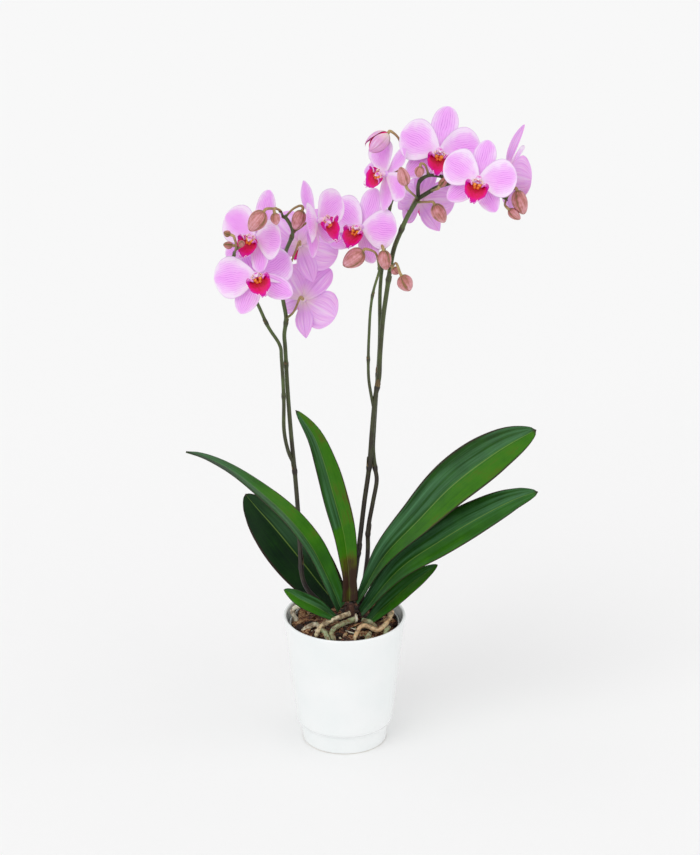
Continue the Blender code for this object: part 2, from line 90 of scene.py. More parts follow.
# name: base to tip along the midrib, width, the share of the length where it is widest, where the upper face looks
# at the base and at the tip, and the painted light on its two halves (how bright each half is painted, the lit half
# lighter and the shaded half darker) and what share of that its tip keeps
LEAVES = {
    "leaf_right_long": (
        [(14, 3, 24), (43, 6, 78), (82, 12, 121), (120, 20, 160), (168, 30, 195), (209, 38, 217)],
        64, 0.68, (-0.75, -0.35, 0.55), (-0.35, -0.6, 0.7), (0.96, 0.44, 1.0)),
    "leaf_right_wide": (
        [(19, -5, 15), (60, -8, 70), (104, -10, 105), (148, -9, 134), (185, -7, 154), (210, -4, 162)],
        54, 0.60, (-0.6, -0.3, 0.75), (-0.35, -0.5, 0.8), (0.8, 0.5, 0.85)),
    "leaf_right_small": (
        [(24, -12, 5), (45, -8, 25), (73, -3, 50), (102, 1, 72)],
        27, 0.58, (-0.4, -0.5, 0.75), (-0.4, -0.45, 0.75), (0.95, 0.65, 0.9)),
    "leaf_upright": (
        [(5, 2, 27), (4, 8, 62), (-1, 14, 102), (-11, 20, 141), (-22, 26, 181), (-34, 30, 214), (-53, 32, 243)],
        32, 0.60, (0.4, -0.9, 0.0), (0.7, -0.65, 0.25), (1.05, 0.5, 0.9)),
    "leaf_left_long": (
        [(-5, -4, 22), (-18, -16, 62), (-36, -26, 106), (-61, -34, 145), (-90, -40, 177), (-121, -44, 205),
         (-150, -46, 222), (-169, -48, 229)],
        36, 0.48, (0.6, -0.6, 0.45), (0.25, 0.05, 0.95), (1.0, 0.5, 0.42)),
    "leaf_left_wide": (
        [(-9, 13, 17), (-28, 23, 38), (-51, 31, 67), (-77, 36, 100), (-96, 40, 122), (-109, 41, 139)],
        60, 0.50, (0.3, -0.7, 0.65), (-0.3, -0.85, 0.4), (0.27, 0.14, 0.8)),
    "leaf_left_small": (
        [(-10, -12, 12), (-29, -22, 30), (-49, -26, 43), (-66, -28, 56)],
        21, 0.58, (0.4, -0.6, 0.7), (0.3, -0.6, 0.7), (0.55, 0.85, 1.1)),
}

# Stems: routes through their middles
LEFT_MAIN = [(-13, 0, 2), (-20, -7, 22), (-39, -4, 42), (-46, -3, 58), (-48, -1, 79), (-50, 0, 126),
             (-54, 0, 186), (-58, 0, 234), (-61, 0, 280), (-63, 0, 327), (-64, -1, 345), (-62, -2, 364),
             (-65, -3, 385), (-67, -4, 403), (-66, -8, 427), (-61, -14, 446), (-54, -24, 470),
             (-60, -30, 487), (-64, -33, 491)]
LEFT_BRANCH = [(-55, 0, 194), (-61, -5, 212), (-65, -8, 237), (-65, -8, 272), (-67, -8, 319),
               (-69, -8, 336), (-81, -8, 357), (-93, -8, 385), (-103, -12, 400), (-114, -24, 420),
               (-118, -38, 440), (-115, -43, 453)]
RIGHT_MAIN = [(6, 19, 2), (12, 25, 50), (17, 24, 93), (22, 17, 143), (27, 7, 189), (30, 0, 234),
              (33, -2, 272), (37, -2, 296), (38, -2, 320), (40, -2, 350), (42, -2, 372), (46, -3, 403),
              (48, -4, 418), (52, -6, 443), (59, -8, 464), (67, -10, 484), (77, -12, 503)]
RIGHT_FORK_UP = [(77, -12, 503), (78, -20, 524), (88, -24, 533), (102, -24, 532)]
RIGHT_FORK_OUT = [(77, -12, 503), (99, -16, 518), (121, -18, 525), (141, -20, 522), (159, -22, 513),
                  (169, -24, 507)]
RIGHT_BRANCH = [(31, -2, 262), (26, -6, 297), (26, -9, 342), (29, -13, 390), (37, -20, 426)]
REAR_MAIN = [(17, 24, 2), (25, 27, 67), (26, 24, 104), (31, 18, 139), (35, 14, 167), (33, 13, 184),
             (31, 11, 206), (32, 10, 230), (34, 8, 268), (37, 7, 316), (38, 6, 347), (38, 6, 394),
             (42, 7, 440), (47, 9, 479), (55, 12, 517), (60, 12, 535)]

# stem: its limbs, each with a route, a thickness at its start and end as a share of STEM_RADIUS, a colour at its
# start and end (0 dark brown, 0.3 olive brown, 0.55 green, 1 tan) and the shares of its length with a node
STEMS = {
    "stem_left": [(LEFT_MAIN, 1.08, 0.8, 0.02, 0.5, (0.16, 0.38, 0.62, 0.72, 0.82, 0.93)),
                  (LEFT_BRANCH, 0.85, 0.66, 0.26, 0.5, (0.3, 0.62, 0.8, 0.93))],
    "stem_right": [(RIGHT_MAIN, 1.08, 0.98, 0.02, 0.42, (0.14, 0.36, 0.55, 0.80, 0.92)),
                   (RIGHT_FORK_UP, 0.85, 0.68, 0.32, 0.3, (0.5,)),
                   (RIGHT_FORK_OUT, 0.95, 0.68, 0.32, 0.4, (0.35, 0.7)),
                   (RIGHT_BRANCH, 0.68, 0.56, 0.3, 0.5, (0.35, 0.8))],
    "stem_rear": [(REAR_MAIN, 1.05, 0.72, 0.04, 0.5, (0.18, 0.34, 0.55, 0.78, 0.92))],
}

# name: middle, where the face looks, where the top points, size, forward bends in degrees of the top sepal,
# the left and right petals and the lower left and right sepals
FLOWERS = {
    "flower_top": ((99, -2, 553), (0.1, -0.9, 0.42), (0.2, 0.2, 1), 1.0, (0, 0, 0, -5, -5)),
    "flower_front_right": ((139, -50, 539), (0.0, -0.88, 0.45), (0.26, 0.2, 1), 0.9, (0, 5, 5, -5, -5)),
    "flower_far_right": ((170, 5, 525), (0.8, 0.5, -0.2), (0.25, 0, 1), 1.0, (0, 0, 48, 0, 30)),
    "flower_under_fork": ((80, 22, 489), (0.4, 0.78, -0.48), (0.25, 0.3, 1), 0.9, (0, 0, 30, 0, 35)),
    "flower_side": ((44, 4, 525), (-0.8, -0.56, 0.2), (0.25, -0.5, 0.82), 0.92, (0, 0, 0, 0, 0)),
    "flower_middle": ((18, 2, 466), (-0.42, -0.8, 0.4), (0.2, 0, 1), 0.95, (0, 0, 0, 0, 0)),
    "flower_left_high": ((-93, -34, 468), (-0.45, -0.82, 0.28), (0.2, 0, 1), 0.95, (0, 0, 20, 0, 20)),
    "flower_left_low": ((-92, -56, 434), (0.0, -0.86, 0.5), (-0.31, 0, 1), 1.0, (-45, 0, -20, -5, -5)),
    "flower_profile": ((-28, -30, 485), (0.85, -0.45, 0.25), (-0.1, 0, 1), 0.95, (0, 15, 15, 0, 0)),
    "flower_back_high": ((-47, 18, 440), (0.1, 0.85, -0.5), (0.45, 0, 0.9), 0.95, (0, 0, 0, 0, 0)),
    "flower_back_low": ((-43, 5, 383), (0.35, 0.75, -0.45), (0.6, 0, 0.8), 0.95, (0, 0, 0, 0, 35)),
}
FLOWER_PEDICELS = {
    "flower_top": ("stem_right", [(102, -24, 532), (103, -14, 522), (101, 4, 530)]),
    "flower_front_right": ("stem_right", [(121, -18, 525)]),
    "flower_far_right": ("stem_right", [(159, -22, 513), (161, -10, 516)]),
    "flower_under_fork": ("stem_right", [(67, -10, 484), (71, -2, 492)]),
    "flower_side": ("stem_rear", [(60, 12, 535)]),
    "flower_middle": ("stem_rear", [(43, 7, 446), (33, 14, 456)]),
    "flower_left_high": ("stem_left", [(-66, -8, 427), (-80, -8, 450)]),
    "flower_left_low": ("stem_left", [(-93, -8, 385), (-92, -18, 410)]),
    "flower_profile": ("stem_left", [(-54, -24, 470), (-46, -26, 476)]),
    "flower_back_high": ("stem_left", [(-67, -4, 403), (-58, -4, 424)]),
    "flower_back_low": ("stem_left", [(-62, -2, 364), (-54, -9, 374)]),
}
# part, angle from the flower's top, length and width in millimetres, where it is widest, how square its outline
# is, how far forward it starts in millimetres, and whether it is a petal
TEPALS = [
    ("top", 0, (46, 27), 0.58, 0.5, -1.2, False),
    ("left", -75, (44, 45), 0.6, 0.52, 0.5, True),
    ("right", 75, (44, 45), 0.6, 0.52, 0.8, True),
    ("low_left", -138, (43, 25), 0.55, 0.54, -0.8, False),
    ("low_right", 138, (43, 25), 0.55, 0.54, -1.0, False),
]
# tepals that differ from the others: length factor, width factor, added angle, how square
UNLIKE = {
    ("flower_top", "top"): (1.03, 1.06, 3, 0.44),
    ("flower_far_right", "top"): (1.3, 0.48, -8, 0.6),
    ("flower_under_fork", "low_left"): (1.08, 0.85, 9, 0.8),
    ("flower_side", "top"): (1.0, 0.7, 0, 0.6),
    ("flower_side", "right"): (1.0, 0.72, 0, 0.6),
    ("flower_left_high", "top"): (1.2, 0.9, 0, 0.5),
    ("flower_profile", "top"): (1.08, 0.9, -6, 0.7),
    ("flower_back_high", "low_left"): (1.05, 0.9, 10, 0.85),
    ("flower_back_low", "low_left"): (1.04, 0.85, 8, 0.9),
}
# lips that differ from the others: size, and how far below the middle of the flower they hang
LIPS = {
    "flower_top": (1.0, -6.4),
    "flower_front_right": (1.1, -7.0),
    "flower_side": (1.0, -1.0),
    "flower_left_high": (1.0, -1.4),
    "flower_profile": (1.16, -1.0),
    "flower_under_fork": (0.8, 1.0),
    "flower_back_high": (0.8, 1.0),
    "flower_back_low": (0.8, 1.0),
}

# name: base, tip, width, the stem it hangs on and the route of its pedicel
BUDS = {
    "bud_left_large": ((-83, -62, 507), (-98, -62, 486), 18, "stem_left",
                       [(-64, -33, 491), (-67, -46, 503), (-75, -58, 509)]),
    "bud_left_small": ((-72, -58, 504), (-70, -58, 491), 10, "stem_left", [(-66, -42, 500), (-71, -54, 508)]),
    "bud_left_high": ((-44, -37, 499), (-52, -37, 478), 14, "stem_left",
                      [(-62, -32, 489), (-54, -34, 499), (-46, -36, 504)]),
    "bud_tip_high": ((-118, -58, 480), (-125, -58, 483), 7, "stem_left",
                     [(-115, -43, 453), (-112, -52, 464), (-114, -57, 476)]),
    "bud_tip_low": ((-116, -50, 465), (-126, -50, 466), 8, "stem_left", [(-115, -42, 450), (-113, -47, 461)]),
    "bud_tip_inner": ((-107, -56, 468), (-106, -62, 474), 7, "stem_left", [(-112, -50, 461)]),
    "bud_middle_large": ((20, -26, 450), (-1, -26, 433), 19, "stem_right", [(37, -20, 426), (33, -26, 447)]),
    "bud_middle_upper": ((41, -30, 452), (44, -30, 430), 14, "stem_right", [(48, -4, 418), (40, -22, 452)]),
    "bud_middle_tiny": ((51, -26, 431), (57, -26, 424), 9, "stem_right", [(48, -4, 418), (44, -16, 432)]),
    "bud_middle_lower": ((60, -36, 426), (69, -36, 409), 16, "stem_right", [(48, -4, 418), (54, -28, 437)]),
    "bud_fork_left": ((64, -46, 530), (58, -46, 550), 13, "stem_right", [(77, -12, 503), (69, -36, 519)]),
    "bud_fork_small": ((79, -30, 545), (77, -30, 533), 10, "stem_right", [(88, -24, 533), (84, -29, 546)]),
    "bud_fork_right": ((94, -24, 501), (105, -24, 481), 15, "stem_right", [(75, -12, 499), (86, -22, 503)]),
    "bud_fork_hidden": ((99, -30, 523), (107, -30, 533), 8, "stem_right", [(90, -14, 512)]),
    "bud_end_large": ((179, -40, 522), (187, -40, 496), 16, "stem_right", [(169, -24, 507), (173, -36, 520)]),
    "bud_end_small": ((171, -44, 503), (183, -44, 492), 10, "stem_right", [(169, -24, 507), (167, -38, 506)]),
    "flower_half_open": ((46, 9, 568), (25, 6, 551), 20, "stem_rear", [(60, 12, 535), (58, 14, 558)]),
}

# name: route over the bark with heights of the root's middle above it, and its colour (0 cream, 0.5 tan, 1 green)
ROOTS = {
    "root_left_stub": ([(-53, 2, 3), (-57, 3, 11), (-55, 4, 17), (-47, 5, 20), (-40, 5, 21)], 0.0),
    "root_cream": ([(6, -6, 16), (-3, -10, 14), (-12, -16, 13), (-22, -24, 12), (-28, -32, 9), (-32, -40, 4)], 0.25),
    "root_grey_loop": ([(12, -12, 12), (4, -18, 12), (-6, -26, 11), (-13, -34, 9), (-14, -42, 7), (-10, -50, 4)], 0.8),
    "root_tan_arch": ([(52, 0, 15), (48, -14, 12), (43, -24, 9), (36, -32, 8), (25, -30, 12), (18, -32, 12),
                       (13, -42, 9), (11, -50, 4)], 0.42),
    "root_pale_green": ([(20, -8, 8), (28, -14, 9), (35, -22, 6)], 1.0),
    "root_front_stub": ([(24, -50, 3), (26, -43, 6), (28, -36, 7)], 0.85),
}
# Roots that lie over and between the others: a route, a thickness as a share of ROOT_RADIUS and a colour
LOOSE_ROOTS = [
    ([(-46, -26, 3), (-39, -22, 8), (-31, -20, 9), (-26, -22, 5)], 1.0, 0.1),
    ([(-18, -50, 3), (-20, -42, 7), (-23, -34, 8), (-26, -28, 6)], 1.1, 0.85),
    ([(13, -15, 11), (13, -15, 16), (12, -15, 20)], 0.6, 0.0),
    ([(2, -50, 3), (0, -40, 5), (3, -32, 4)], 0.8, 0.55),
    ([(44, -34, 3), (46, -26, 6), (50, -18, 5)], 0.9, 0.9),
    ([(-40, 16, 5), (-30, 24, 7), (-18, 26, 4)], 0.8, 0.4),
    ([(30, 34, 5), (38, 26, 8), (46, 14, 5)], 0.9, 0.5),
]


# ---------------------------------------------------------------- materials

def colour(code):
    """An sRGB hex colour as linear RGBA."""
    parts = [int(code[i:i + 2], 16) / 255 for i in (1, 3, 5)]
    return [c / 12.92 if c <= 0.04045 else ((c + 0.055) / 1.055) ** 2.4 for c in parts] + [1.0]


def add(tree, kind, inputs=None, out=0, stops=None, **settings):
    """Adds a node with its settings, its ramp stops and its inputs as values or links, and gives an output."""
    made = tree.nodes.new("ShaderNode" + kind)
    for name, value in settings.items():
        setattr(made, name, value)
    for i, (position, code) in enumerate(stops or []):
        element = made.color_ramp.elements[i] if i < 2 else made.color_ramp.elements.new(position)
        element.position = position
        element.color = colour(code) if isinstance(code, str) else [code, code, code, 1.0]
    for name, value in (inputs or {}).items():
        if isinstance(value, bpy.types.NodeSocket):
            tree.links.new(value, made.inputs[name])
        else:
            made.inputs[name].default_value = value
    return made.outputs[out]


def new_material(name, **uniform):
    """A Principled material; the uniform numbers go straight to the shader's sockets."""
    made = bpy.data.materials.new(name)
    made.use_nodes = True
    shader = made.node_tree.nodes["Principled BSDF"]
    for key, value in uniform.items():
        shader.inputs[key.replace("_", " ")].default_value = value
    return made, made.node_tree, shader


def connect(tree, shader, base=None, roughness=None, height=None, depth=0.1 * MM, strength=1.0):
    """Links a colour, a roughness and a height that stands depth proud to the shader."""
    if base is not None:
        tree.links.new(base, shader.inputs["Base Color"])
    if roughness is not None:
        tree.links.new(roughness, shader.inputs["Roughness"])
    if height is not None:
        bump = add(tree, "Bump", {"Strength": strength, "Distance": depth, "Height": height})
        tree.links.new(bump, shader.inputs["Normal"])


def blended(tree, factor, first, second):
    return add(tree, "Mix", {0: factor, 6: first, 7: second}, out=2, data_type="RGBA")


def glazed_stoneware():
    """Slip-cast stoneware under a white gloss glaze: soft waves in the gloss and a few pinholes."""
    made, tree, shader = new_material("glazed white stoneware", IOR=1.52, Coat_Weight=0.6, Coat_Roughness=0.04)
    point = add(tree, "TexCoord", out=3)
    waves = add(tree, "TexNoise", {"Vector": point, "Scale": 1 / (45 * MM), "Detail": 1.0})
    pinholes = add(tree, "TexVoronoi", {"Vector": point, "Scale": 1 / (9 * MM)})
    pits = add(tree, "ValToRGB", {"Fac": pinholes}, stops=[(0.0, 0.0), (0.035, 1.0)])
    tint = add(tree, "ValToRGB", {"Fac": waves}, stops=[(0.3, "#F1F5F5"), (0.7, "#F6F8F8")])
    roughness = add(tree, "MapRange", {"Value": waves, "To Min": 0.1, "To Max": 0.16})
    height = add(tree, "Math", {0: waves, 1: pits}, operation="ADD")
    connect(tree, shader, tint, roughness, height, 0.05 * MM, 0.5)
    return made


def unglazed_clay():
    """The wiped foot ring: bare fired clay, matt and slightly gritty."""
    made, tree, shader = new_material("unglazed clay", IOR=1.5)
    point = add(tree, "TexCoord", out=3)
    grit = add(tree, "TexNoise", {"Vector": point, "Scale": 1 / (0.8 * MM), "Detail": 4.0})
    tint = add(tree, "ValToRGB", {"Fac": grit}, stops=[(0.35, "#D9D2C4"), (0.65, "#EAE4D8")])
    rough = add(tree, "MapRange", {"Value": grit, "To Min": 0.75, "To Max": 0.95})
    connect(tree, shader, tint, rough, grit, 0.15 * MM)
    return made


def moulded_polypropylene():
    """A thin blow-moulded grower's pot: cloudy grey plastic, satin, with dried water marks near the bark."""
    made, tree, shader = new_material("moulded polypropylene", IOR=1.49)
    point = add(tree, "TexCoord", out=3)
    cloud = add(tree, "TexNoise", {"Vector": point, "Scale": 1 / (7 * MM), "Detail": 5.0})
    tint = add(tree, "ValToRGB", {"Fac": cloud}, stops=[(0.3, "#A8ACAA"), (0.6, "#C9CCCA"), (0.8, "#DAD7CC")])
    rough = add(tree, "MapRange", {"Value": cloud, "To Min": 0.3, "To Max": 0.6})
    connect(tree, shader, tint, rough, cloud, 0.1 * MM)
    return made


def pine_bark():
    """Chipped pine bark: red-brown plates in thin layers, with darker corky hollows and pale broken edges."""
    made, tree, shader = new_material("pine bark", IOR=1.45)
    point = add(tree, "TexCoord", out=3)
    tone = add(tree, "Attribute", out=2, attribute_name="tone")
    layers = add(tree, "TexWave", {"Vector": point, "Scale": 1 / (9 * MM), "Distortion": 9.0, "Detail": 4.0,
                                   "Detail Scale": 2.5}, out=1, bands_direction="Z")
    flakes = add(tree, "TexNoise", {"Vector": point, "Scale": 1 / (2.2 * MM), "Detail": 6.0, "Roughness": 0.7})
    both = add(tree, "Math", {0: layers, 1: flakes}, operation="MULTIPLY")
    shift = add(tree, "Math", {0: both, 1: tone}, operation="ADD")
    tint = add(tree, "ValToRGB", {"Fac": shift},
               stops=[(0.12, "#241610"), (0.38, "#4A2A1C"), (0.62, "#76482E"), (0.85, "#A07450"), (1.0, "#C9A57C")])
    rough = add(tree, "MapRange", {"Value": flakes, "To Min": 0.7, "To Max": 1.0})
    connect(tree, shader, tint, rough, both, 0.8 * MM)
    return made


def root_velamen():
    """Aerial roots in their dry velamen: silvery cream to tan or grey-green, papery, with fine lengthwise creases."""
    made, tree, shader = new_material("root velamen", IOR=1.42, Subsurface_Weight=0.08, Subsurface_Scale=0.002)
    point = add(tree, "TexCoord", out=3)
    chart = add(tree, "TexCoord", out=2)
    tone = add(tree, "Attribute", out=2, attribute_name="tone")
    stretched = add(tree, "Mapping", {"Vector": chart, "Scale": (6.0, 26.0, 1.0)})
    creases = add(tree, "TexNoise", {"Vector": stretched, "Scale": 1.0, "Detail": 4.0, "Distortion": 0.6})
    blotches = add(tree, "TexNoise", {"Vector": point, "Scale": 1 / (5 * MM), "Detail": 5.0})
    base = add(tree, "ValToRGB", {"Fac": tone},
               stops=[(0.0, "#EAE4CE"), (0.3, "#D9C49A"), (0.5, "#C79B6C"), (0.8, "#8F9A70"), (1.0, "#A9B68A")])
    marks = add(tree, "ValToRGB", {"Fac": blotches}, stops=[(0.44, 0.0), (0.6, 0.85)])
    tint = blended(tree, marks, base, colour("#6E5236"))
    worn = add(tree, "ValToRGB", {"Fac": creases}, stops=[(0.5, 0.0), (0.8, 0.6)])
    tint = blended(tree, worn, tint, colour("#EFEAD8"))
    rough = add(tree, "MapRange", {"Value": creases, "To Min": 0.6, "To Max": 0.9})
    connect(tree, shader, tint, rough, creases, 0.35 * MM)
    return made


def leaf_cuticle():
    """Thick orchid leaves: waxy satin cuticle over deep green, with a pale midrib, faint lengthwise veins, a thin
    purple-brown margin and painted light: one half painted a lighter green as if light came through it, the other
    painted darker as shade, painted shade towards the crown and grey-green streaks of painted sheen."""
    made, tree, shader = new_material("leaf cuticle", IOR=1.46, Coat_Weight=0.03, Coat_Roughness=0.3,
                                      Specular_IOR_Level=0.16)
    chart = add(tree, "TexCoord", out=2)
    point = add(tree, "TexCoord", out=3)
    # The tone attribute carries painted light: how bright each half of the blade is painted and the painted shade
    # towards the crown
    tone = add(tree, "Attribute", out=2, attribute_name="tone")
    across = add(tree, "SeparateXYZ", {"Vector": chart}, out=1)
    veins = add(tree, "TexNoise", {"Vector": add(tree, "Mapping", {"Vector": chart, "Scale": (3.0, 60.0, 1.0)}),
                                   "Scale": 1.0, "Detail": 3.0})
    cloud = add(tree, "TexNoise", {"Vector": point, "Scale": 1 / (22 * MM), "Detail": 4.0})
    mottle = add(tree, "Math", {0: cloud, 1: veins}, operation="ADD")
    lit = add(tree, "MapRange", {"Value": mottle, "From Min": 0.7, "From Max": 1.3, "To Min": -0.2, "To Max": 0.2})
    level = add(tree, "Math", {0: add(tree, "Math", {0: tone, 1: lit}, operation="ADD"), 1: 0.75},
                operation="MULTIPLY")
    green = add(tree, "ValToRGB", {"Fac": level},
                stops=[(0.0, "#0B2412"), (0.19, "#12350E"), (0.38, "#1D4A0C"), (0.56, "#275E06"), (0.76, "#3A7706"),
                       (0.86, "#54560F"), (0.97, "#3E251E")])
    # Painted sheen: grey-green streaks over the mid-bright halves stand in for a broad reflection on the cuticle
    streaks = add(tree, "TexNoise", {"Vector": add(tree, "Mapping", {"Vector": chart, "Scale": (2.2, 7.0, 1.0)}),
                                     "Scale": 1.0, "Detail": 4.0, "Roughness": 0.6})
    patches = add(tree, "ValToRGB", {"Fac": streaks}, stops=[(0.4, 0.0), (0.66, 0.62)])
    painted_sheen_weight = add(tree, "ValToRGB", {"Fac": tone}, stops=[(0.2, 0.0), (0.36, 1.0), (0.6, 0.7), (0.85, 0.05)])
    painted_sheen = add(tree, "Math", {0: patches, 1: painted_sheen_weight}, operation="MULTIPLY")
    green = blended(tree, painted_sheen, green, colour("#5E9468"))
    offset = add(tree, "Math", {0: add(tree, "Math", {0: across, 1: 0.5}, operation="SUBTRACT")}, operation="ABSOLUTE")
    midrib = add(tree, "ValToRGB", {"Fac": offset}, stops=[(0.004, 0.6), (0.014, 0.0)])
    tint = blended(tree, midrib, green, colour("#7F9E48"))
    along = add(tree, "SeparateXYZ", {"Vector": chart}, out=0)
    margin = add(tree, "Math", {0: add(tree, "ValToRGB", {"Fac": offset}, stops=[(0.45, 0.0), (0.48, 0.95)]),
                                1: add(tree, "ValToRGB", {"Fac": along}, stops=[(0.91, 0.0), (0.95, 0.9)])},
                 operation="MAXIMUM")
    tint = blended(tree, margin, tint, colour("#33221E"))
    rough = add(tree, "MapRange", {"Value": mottle, "From Min": 0.7, "From Max": 1.3, "To Min": 0.36, "To Max": 0.52})
    connect(tree, shader, tint, rough, veins, 0.12 * MM, 0.6)
    return made


def leaf_underside():
    """The leaves' undersides: duller and paler, with a purple flush and raised veins."""
    made, tree, shader = new_material("leaf underside", IOR=1.45)
    chart = add(tree, "TexCoord", out=2)
    veins = add(tree, "TexNoise", {"Vector": add(tree, "Mapping", {"Vector": chart, "Scale": (3.0, 44.0, 1.0)}),
                                   "Scale": 1.0, "Detail": 3.0})
    tint = add(tree, "ValToRGB", {"Fac": veins}, stops=[(0.3, "#27421F"), (0.55, "#3B5A28"), (0.75, "#4A3B33")])
    rough = add(tree, "MapRange", {"Value": veins, "To Min": 0.4, "To Max": 0.6})
    connect(tree, shader, tint, rough, veins, 0.15 * MM)
    return made


def crown_sheath():
    """The dried leaf bases round the crown: fibrous, purple-brown with a straw edge."""
    made, tree, shader = new_material("crown sheath", IOR=1.45)
    point = add(tree, "TexCoord", out=3)
    stretched = add(tree, "Mapping", {"Vector": point, "Scale": (1.0, 1.0, 0.12)})
    fibres = add(tree, "TexNoise", {"Vector": stretched, "Scale": 1 / (1.1 * MM), "Detail": 5.0})
    tint = add(tree, "ValToRGB", {"Fac": fibres},
               stops=[(0.25, "#2C1A17"), (0.5, "#4E2F28"), (0.68, "#6B4A34"), (0.85, "#8E7850")])
    rough = add(tree, "MapRange", {"Value": fibres, "To Min": 0.5, "To Max": 0.8})
    connect(tree, shader, tint, rough, fibres, 0.3 * MM)
    return made


def stem_skin():
    """Living flower stems: smooth waxy skin, dark brown at the foot through olive to tan pedicels, finely speckled
    and streaked along their length."""
    made, tree, shader = new_material("flower stem skin", IOR=1.46, Coat_Weight=0.1, Coat_Roughness=0.3)
    point = add(tree, "TexCoord", out=3)
    tone = add(tree, "Attribute", out=2, attribute_name="tone")
    streaks = add(tree, "TexNoise", {"Vector": add(tree, "Mapping", {"Vector": point, "Scale": (1.0, 1.0, 0.07)}),
                                     "Scale": 1 / (0.9 * MM), "Detail": 4.0})
    specks = add(tree, "TexNoise", {"Vector": point, "Scale": 1 / (1.4 * MM), "Detail": 3.0})
    patches = add(tree, "TexNoise", {"Vector": point, "Scale": 1 / (16 * MM), "Detail": 2.0})
    shift = add(tree, "MapRange", {"Value": add(tree, "Math", {0: streaks, 1: patches}, operation="ADD"),
                                   "From Min": 0.7, "From Max": 1.3, "To Min": -0.12, "To Max": 0.12})
    base = add(tree, "ValToRGB", {"Fac": add(tree, "Math", {0: tone, 1: shift}, operation="ADD")},
               stops=[(0.0, "#17100E"), (0.15, "#281C15"), (0.33, "#3E4422"), (0.55, "#52672F"), (0.75, "#857244"),
                      (0.9, "#A58658"), (1.0, "#B9A46C")])
    dots = add(tree, "ValToRGB", {"Fac": specks}, stops=[(0.6, 0.0), (0.72, 0.55)])
    tint = blended(tree, dots, base, colour("#3A2419"))
    rough = add(tree, "MapRange", {"Value": streaks, "To Min": 0.36, "To Max": 0.55})
    connect(tree, shader, tint, rough, streaks, 0.15 * MM)
    return made


def bract_husk():
    """Dried bracts at the stem's nodes: papery, tan to grey-brown with dark ribs."""
    made, tree, shader = new_material("bract husk", IOR=1.4)
    chart = add(tree, "TexCoord", out=2)
    ribs = add(tree, "TexNoise", {"Vector": add(tree, "Mapping", {"Vector": chart, "Scale": (2.0, 22.0, 1.0)}),
                                  "Scale": 1.0, "Detail": 3.0})
    tint = add(tree, "ValToRGB", {"Fac": ribs}, stops=[(0.3, "#3B2B1E"), (0.55, "#6E5A3C"), (0.75, "#9A8560")])
    rough = add(tree, "MapRange", {"Value": ribs, "To Min": 0.6, "To Max": 0.85})
    connect(tree, shader, tint, rough, ribs, 0.2 * MM)
    return made


def tepal_tissue(name, veins_across, pale, flush, vein, patch, vein_share):
    """Petal or sepal tissue: matt, faintly sparkling cells, pale at the edge and the claw, flushed in the middle,
    with fine darker veins that fan out from the claw."""
    made, tree, shader = new_material(name, IOR=1.4, Subsurface_Weight=0.12, Subsurface_Scale=0.0015,
                                      Sheen_Weight=0.12, Sheen_Roughness=0.4)
    shader.inputs["Subsurface Radius"].default_value = (1.0, 0.5, 0.9)
    chart = add(tree, "TexCoord", out=2)
    point = add(tree, "TexCoord", out=3)
    along = add(tree, "SeparateXYZ", {"Vector": chart}, out=0)
    across = add(tree, "SeparateXYZ", {"Vector": chart}, out=1)
    start, centre, reach, half = patch
    length = add(tree, "Math", {0: add(tree, "Math", {0: along, 1: centre}, operation="SUBTRACT"), 1: reach},
                 operation="DIVIDE")
    width = add(tree, "Math", {0: add(tree, "Math", {0: across, 1: 0.5}, operation="SUBTRACT"), 1: half},
                operation="DIVIDE")
    away = add(tree, "VectorMath", {0: add(tree, "CombineXYZ", {0: length, 1: width})}, out=1, operation="LENGTH")
    cloud = add(tree, "TexNoise", {"Vector": point, "Scale": 1 / (9 * MM), "Detail": 3.0})
    uneven = add(tree, "Math", {0: away, 1: add(tree, "MapRange", {"Value": cloud, "To Min": -0.42, "To Max": 0.38})},
                 operation="ADD")
    faded = add(tree, "ValToRGB", {"Fac": uneven}, stops=[(start, 1.0), (0.7, 0.64), (1.0, 0.12)])
    tone = add(tree, "Attribute", out=2, attribute_name="tone")
    middle = add(tree, "Math", {0: faded, 1: tone}, operation="MULTIPLY")
    wander = add(tree, "TexNoise", {"Vector": add(tree, "Mapping", {"Vector": chart, "Scale": (5.0, 3.0, 1.0)}),
                                    "Scale": 1.0, "Detail": 3.0})
    bent = add(tree, "Math", {0: across, 1: add(tree, "Math", {0: wander, 1: 0.13}, operation="MULTIPLY")},
               operation="ADD")
    turns = add(tree, "Math", {0: bent, 1: veins_across * math.pi}, operation="MULTIPLY")
    wave = add(tree, "Math", {0: add(tree, "Math", {0: turns}, operation="SINE")}, operation="ABSOLUTE")
    lines = add(tree, "ValToRGB", {"Fac": wave}, stops=[(0.0, 1.0), (0.5, 0.0)])
    breaks = add(tree, "TexNoise", {"Vector": add(tree, "Mapping", {"Vector": chart, "Scale": (4.0, 14.0, 1.0)}),
                                    "Scale": 1.0, "Detail": 2.0})
    broken = add(tree, "ValToRGB", {"Fac": breaks}, stops=[(0.36, 0.25), (0.58, 1.0)])
    lines = add(tree, "Math", {0: lines, 1: broken}, operation="MULTIPLY")
    shown = add(tree, "Math", {0: lines, 1: add(tree, "MapRange", {"Value": middle, "To Min": 0.1,
                                                                   "To Max": vein_share})}, operation="MULTIPLY")
    tint = blended(tree, middle, colour(pale), colour(flush))
    tint = blended(tree, shown, tint, colour(vein))
    offset = add(tree, "Math", {0: add(tree, "Math", {0: across, 1: 0.5}, operation="SUBTRACT")}, operation="ABSOLUTE")
    margin = add(tree, "ValToRGB", {"Fac": offset}, stops=[(0.47, 0.0), (0.5, 0.55)])
    tint = blended(tree, margin, tint, colour("#C493CE"))
    cells = add(tree, "TexVoronoi", {"Vector": point, "Scale": 1 / (0.5 * MM)})
    relief = add(tree, "Math", {0: cells, 1: lines}, operation="SUBTRACT")
    rough = add(tree, "MapRange", {"Value": cells, "To Min": 0.5, "To Max": 0.72})
    connect(tree, shader, tint, rough, relief, 0.1 * MM, 0.5)
    return made


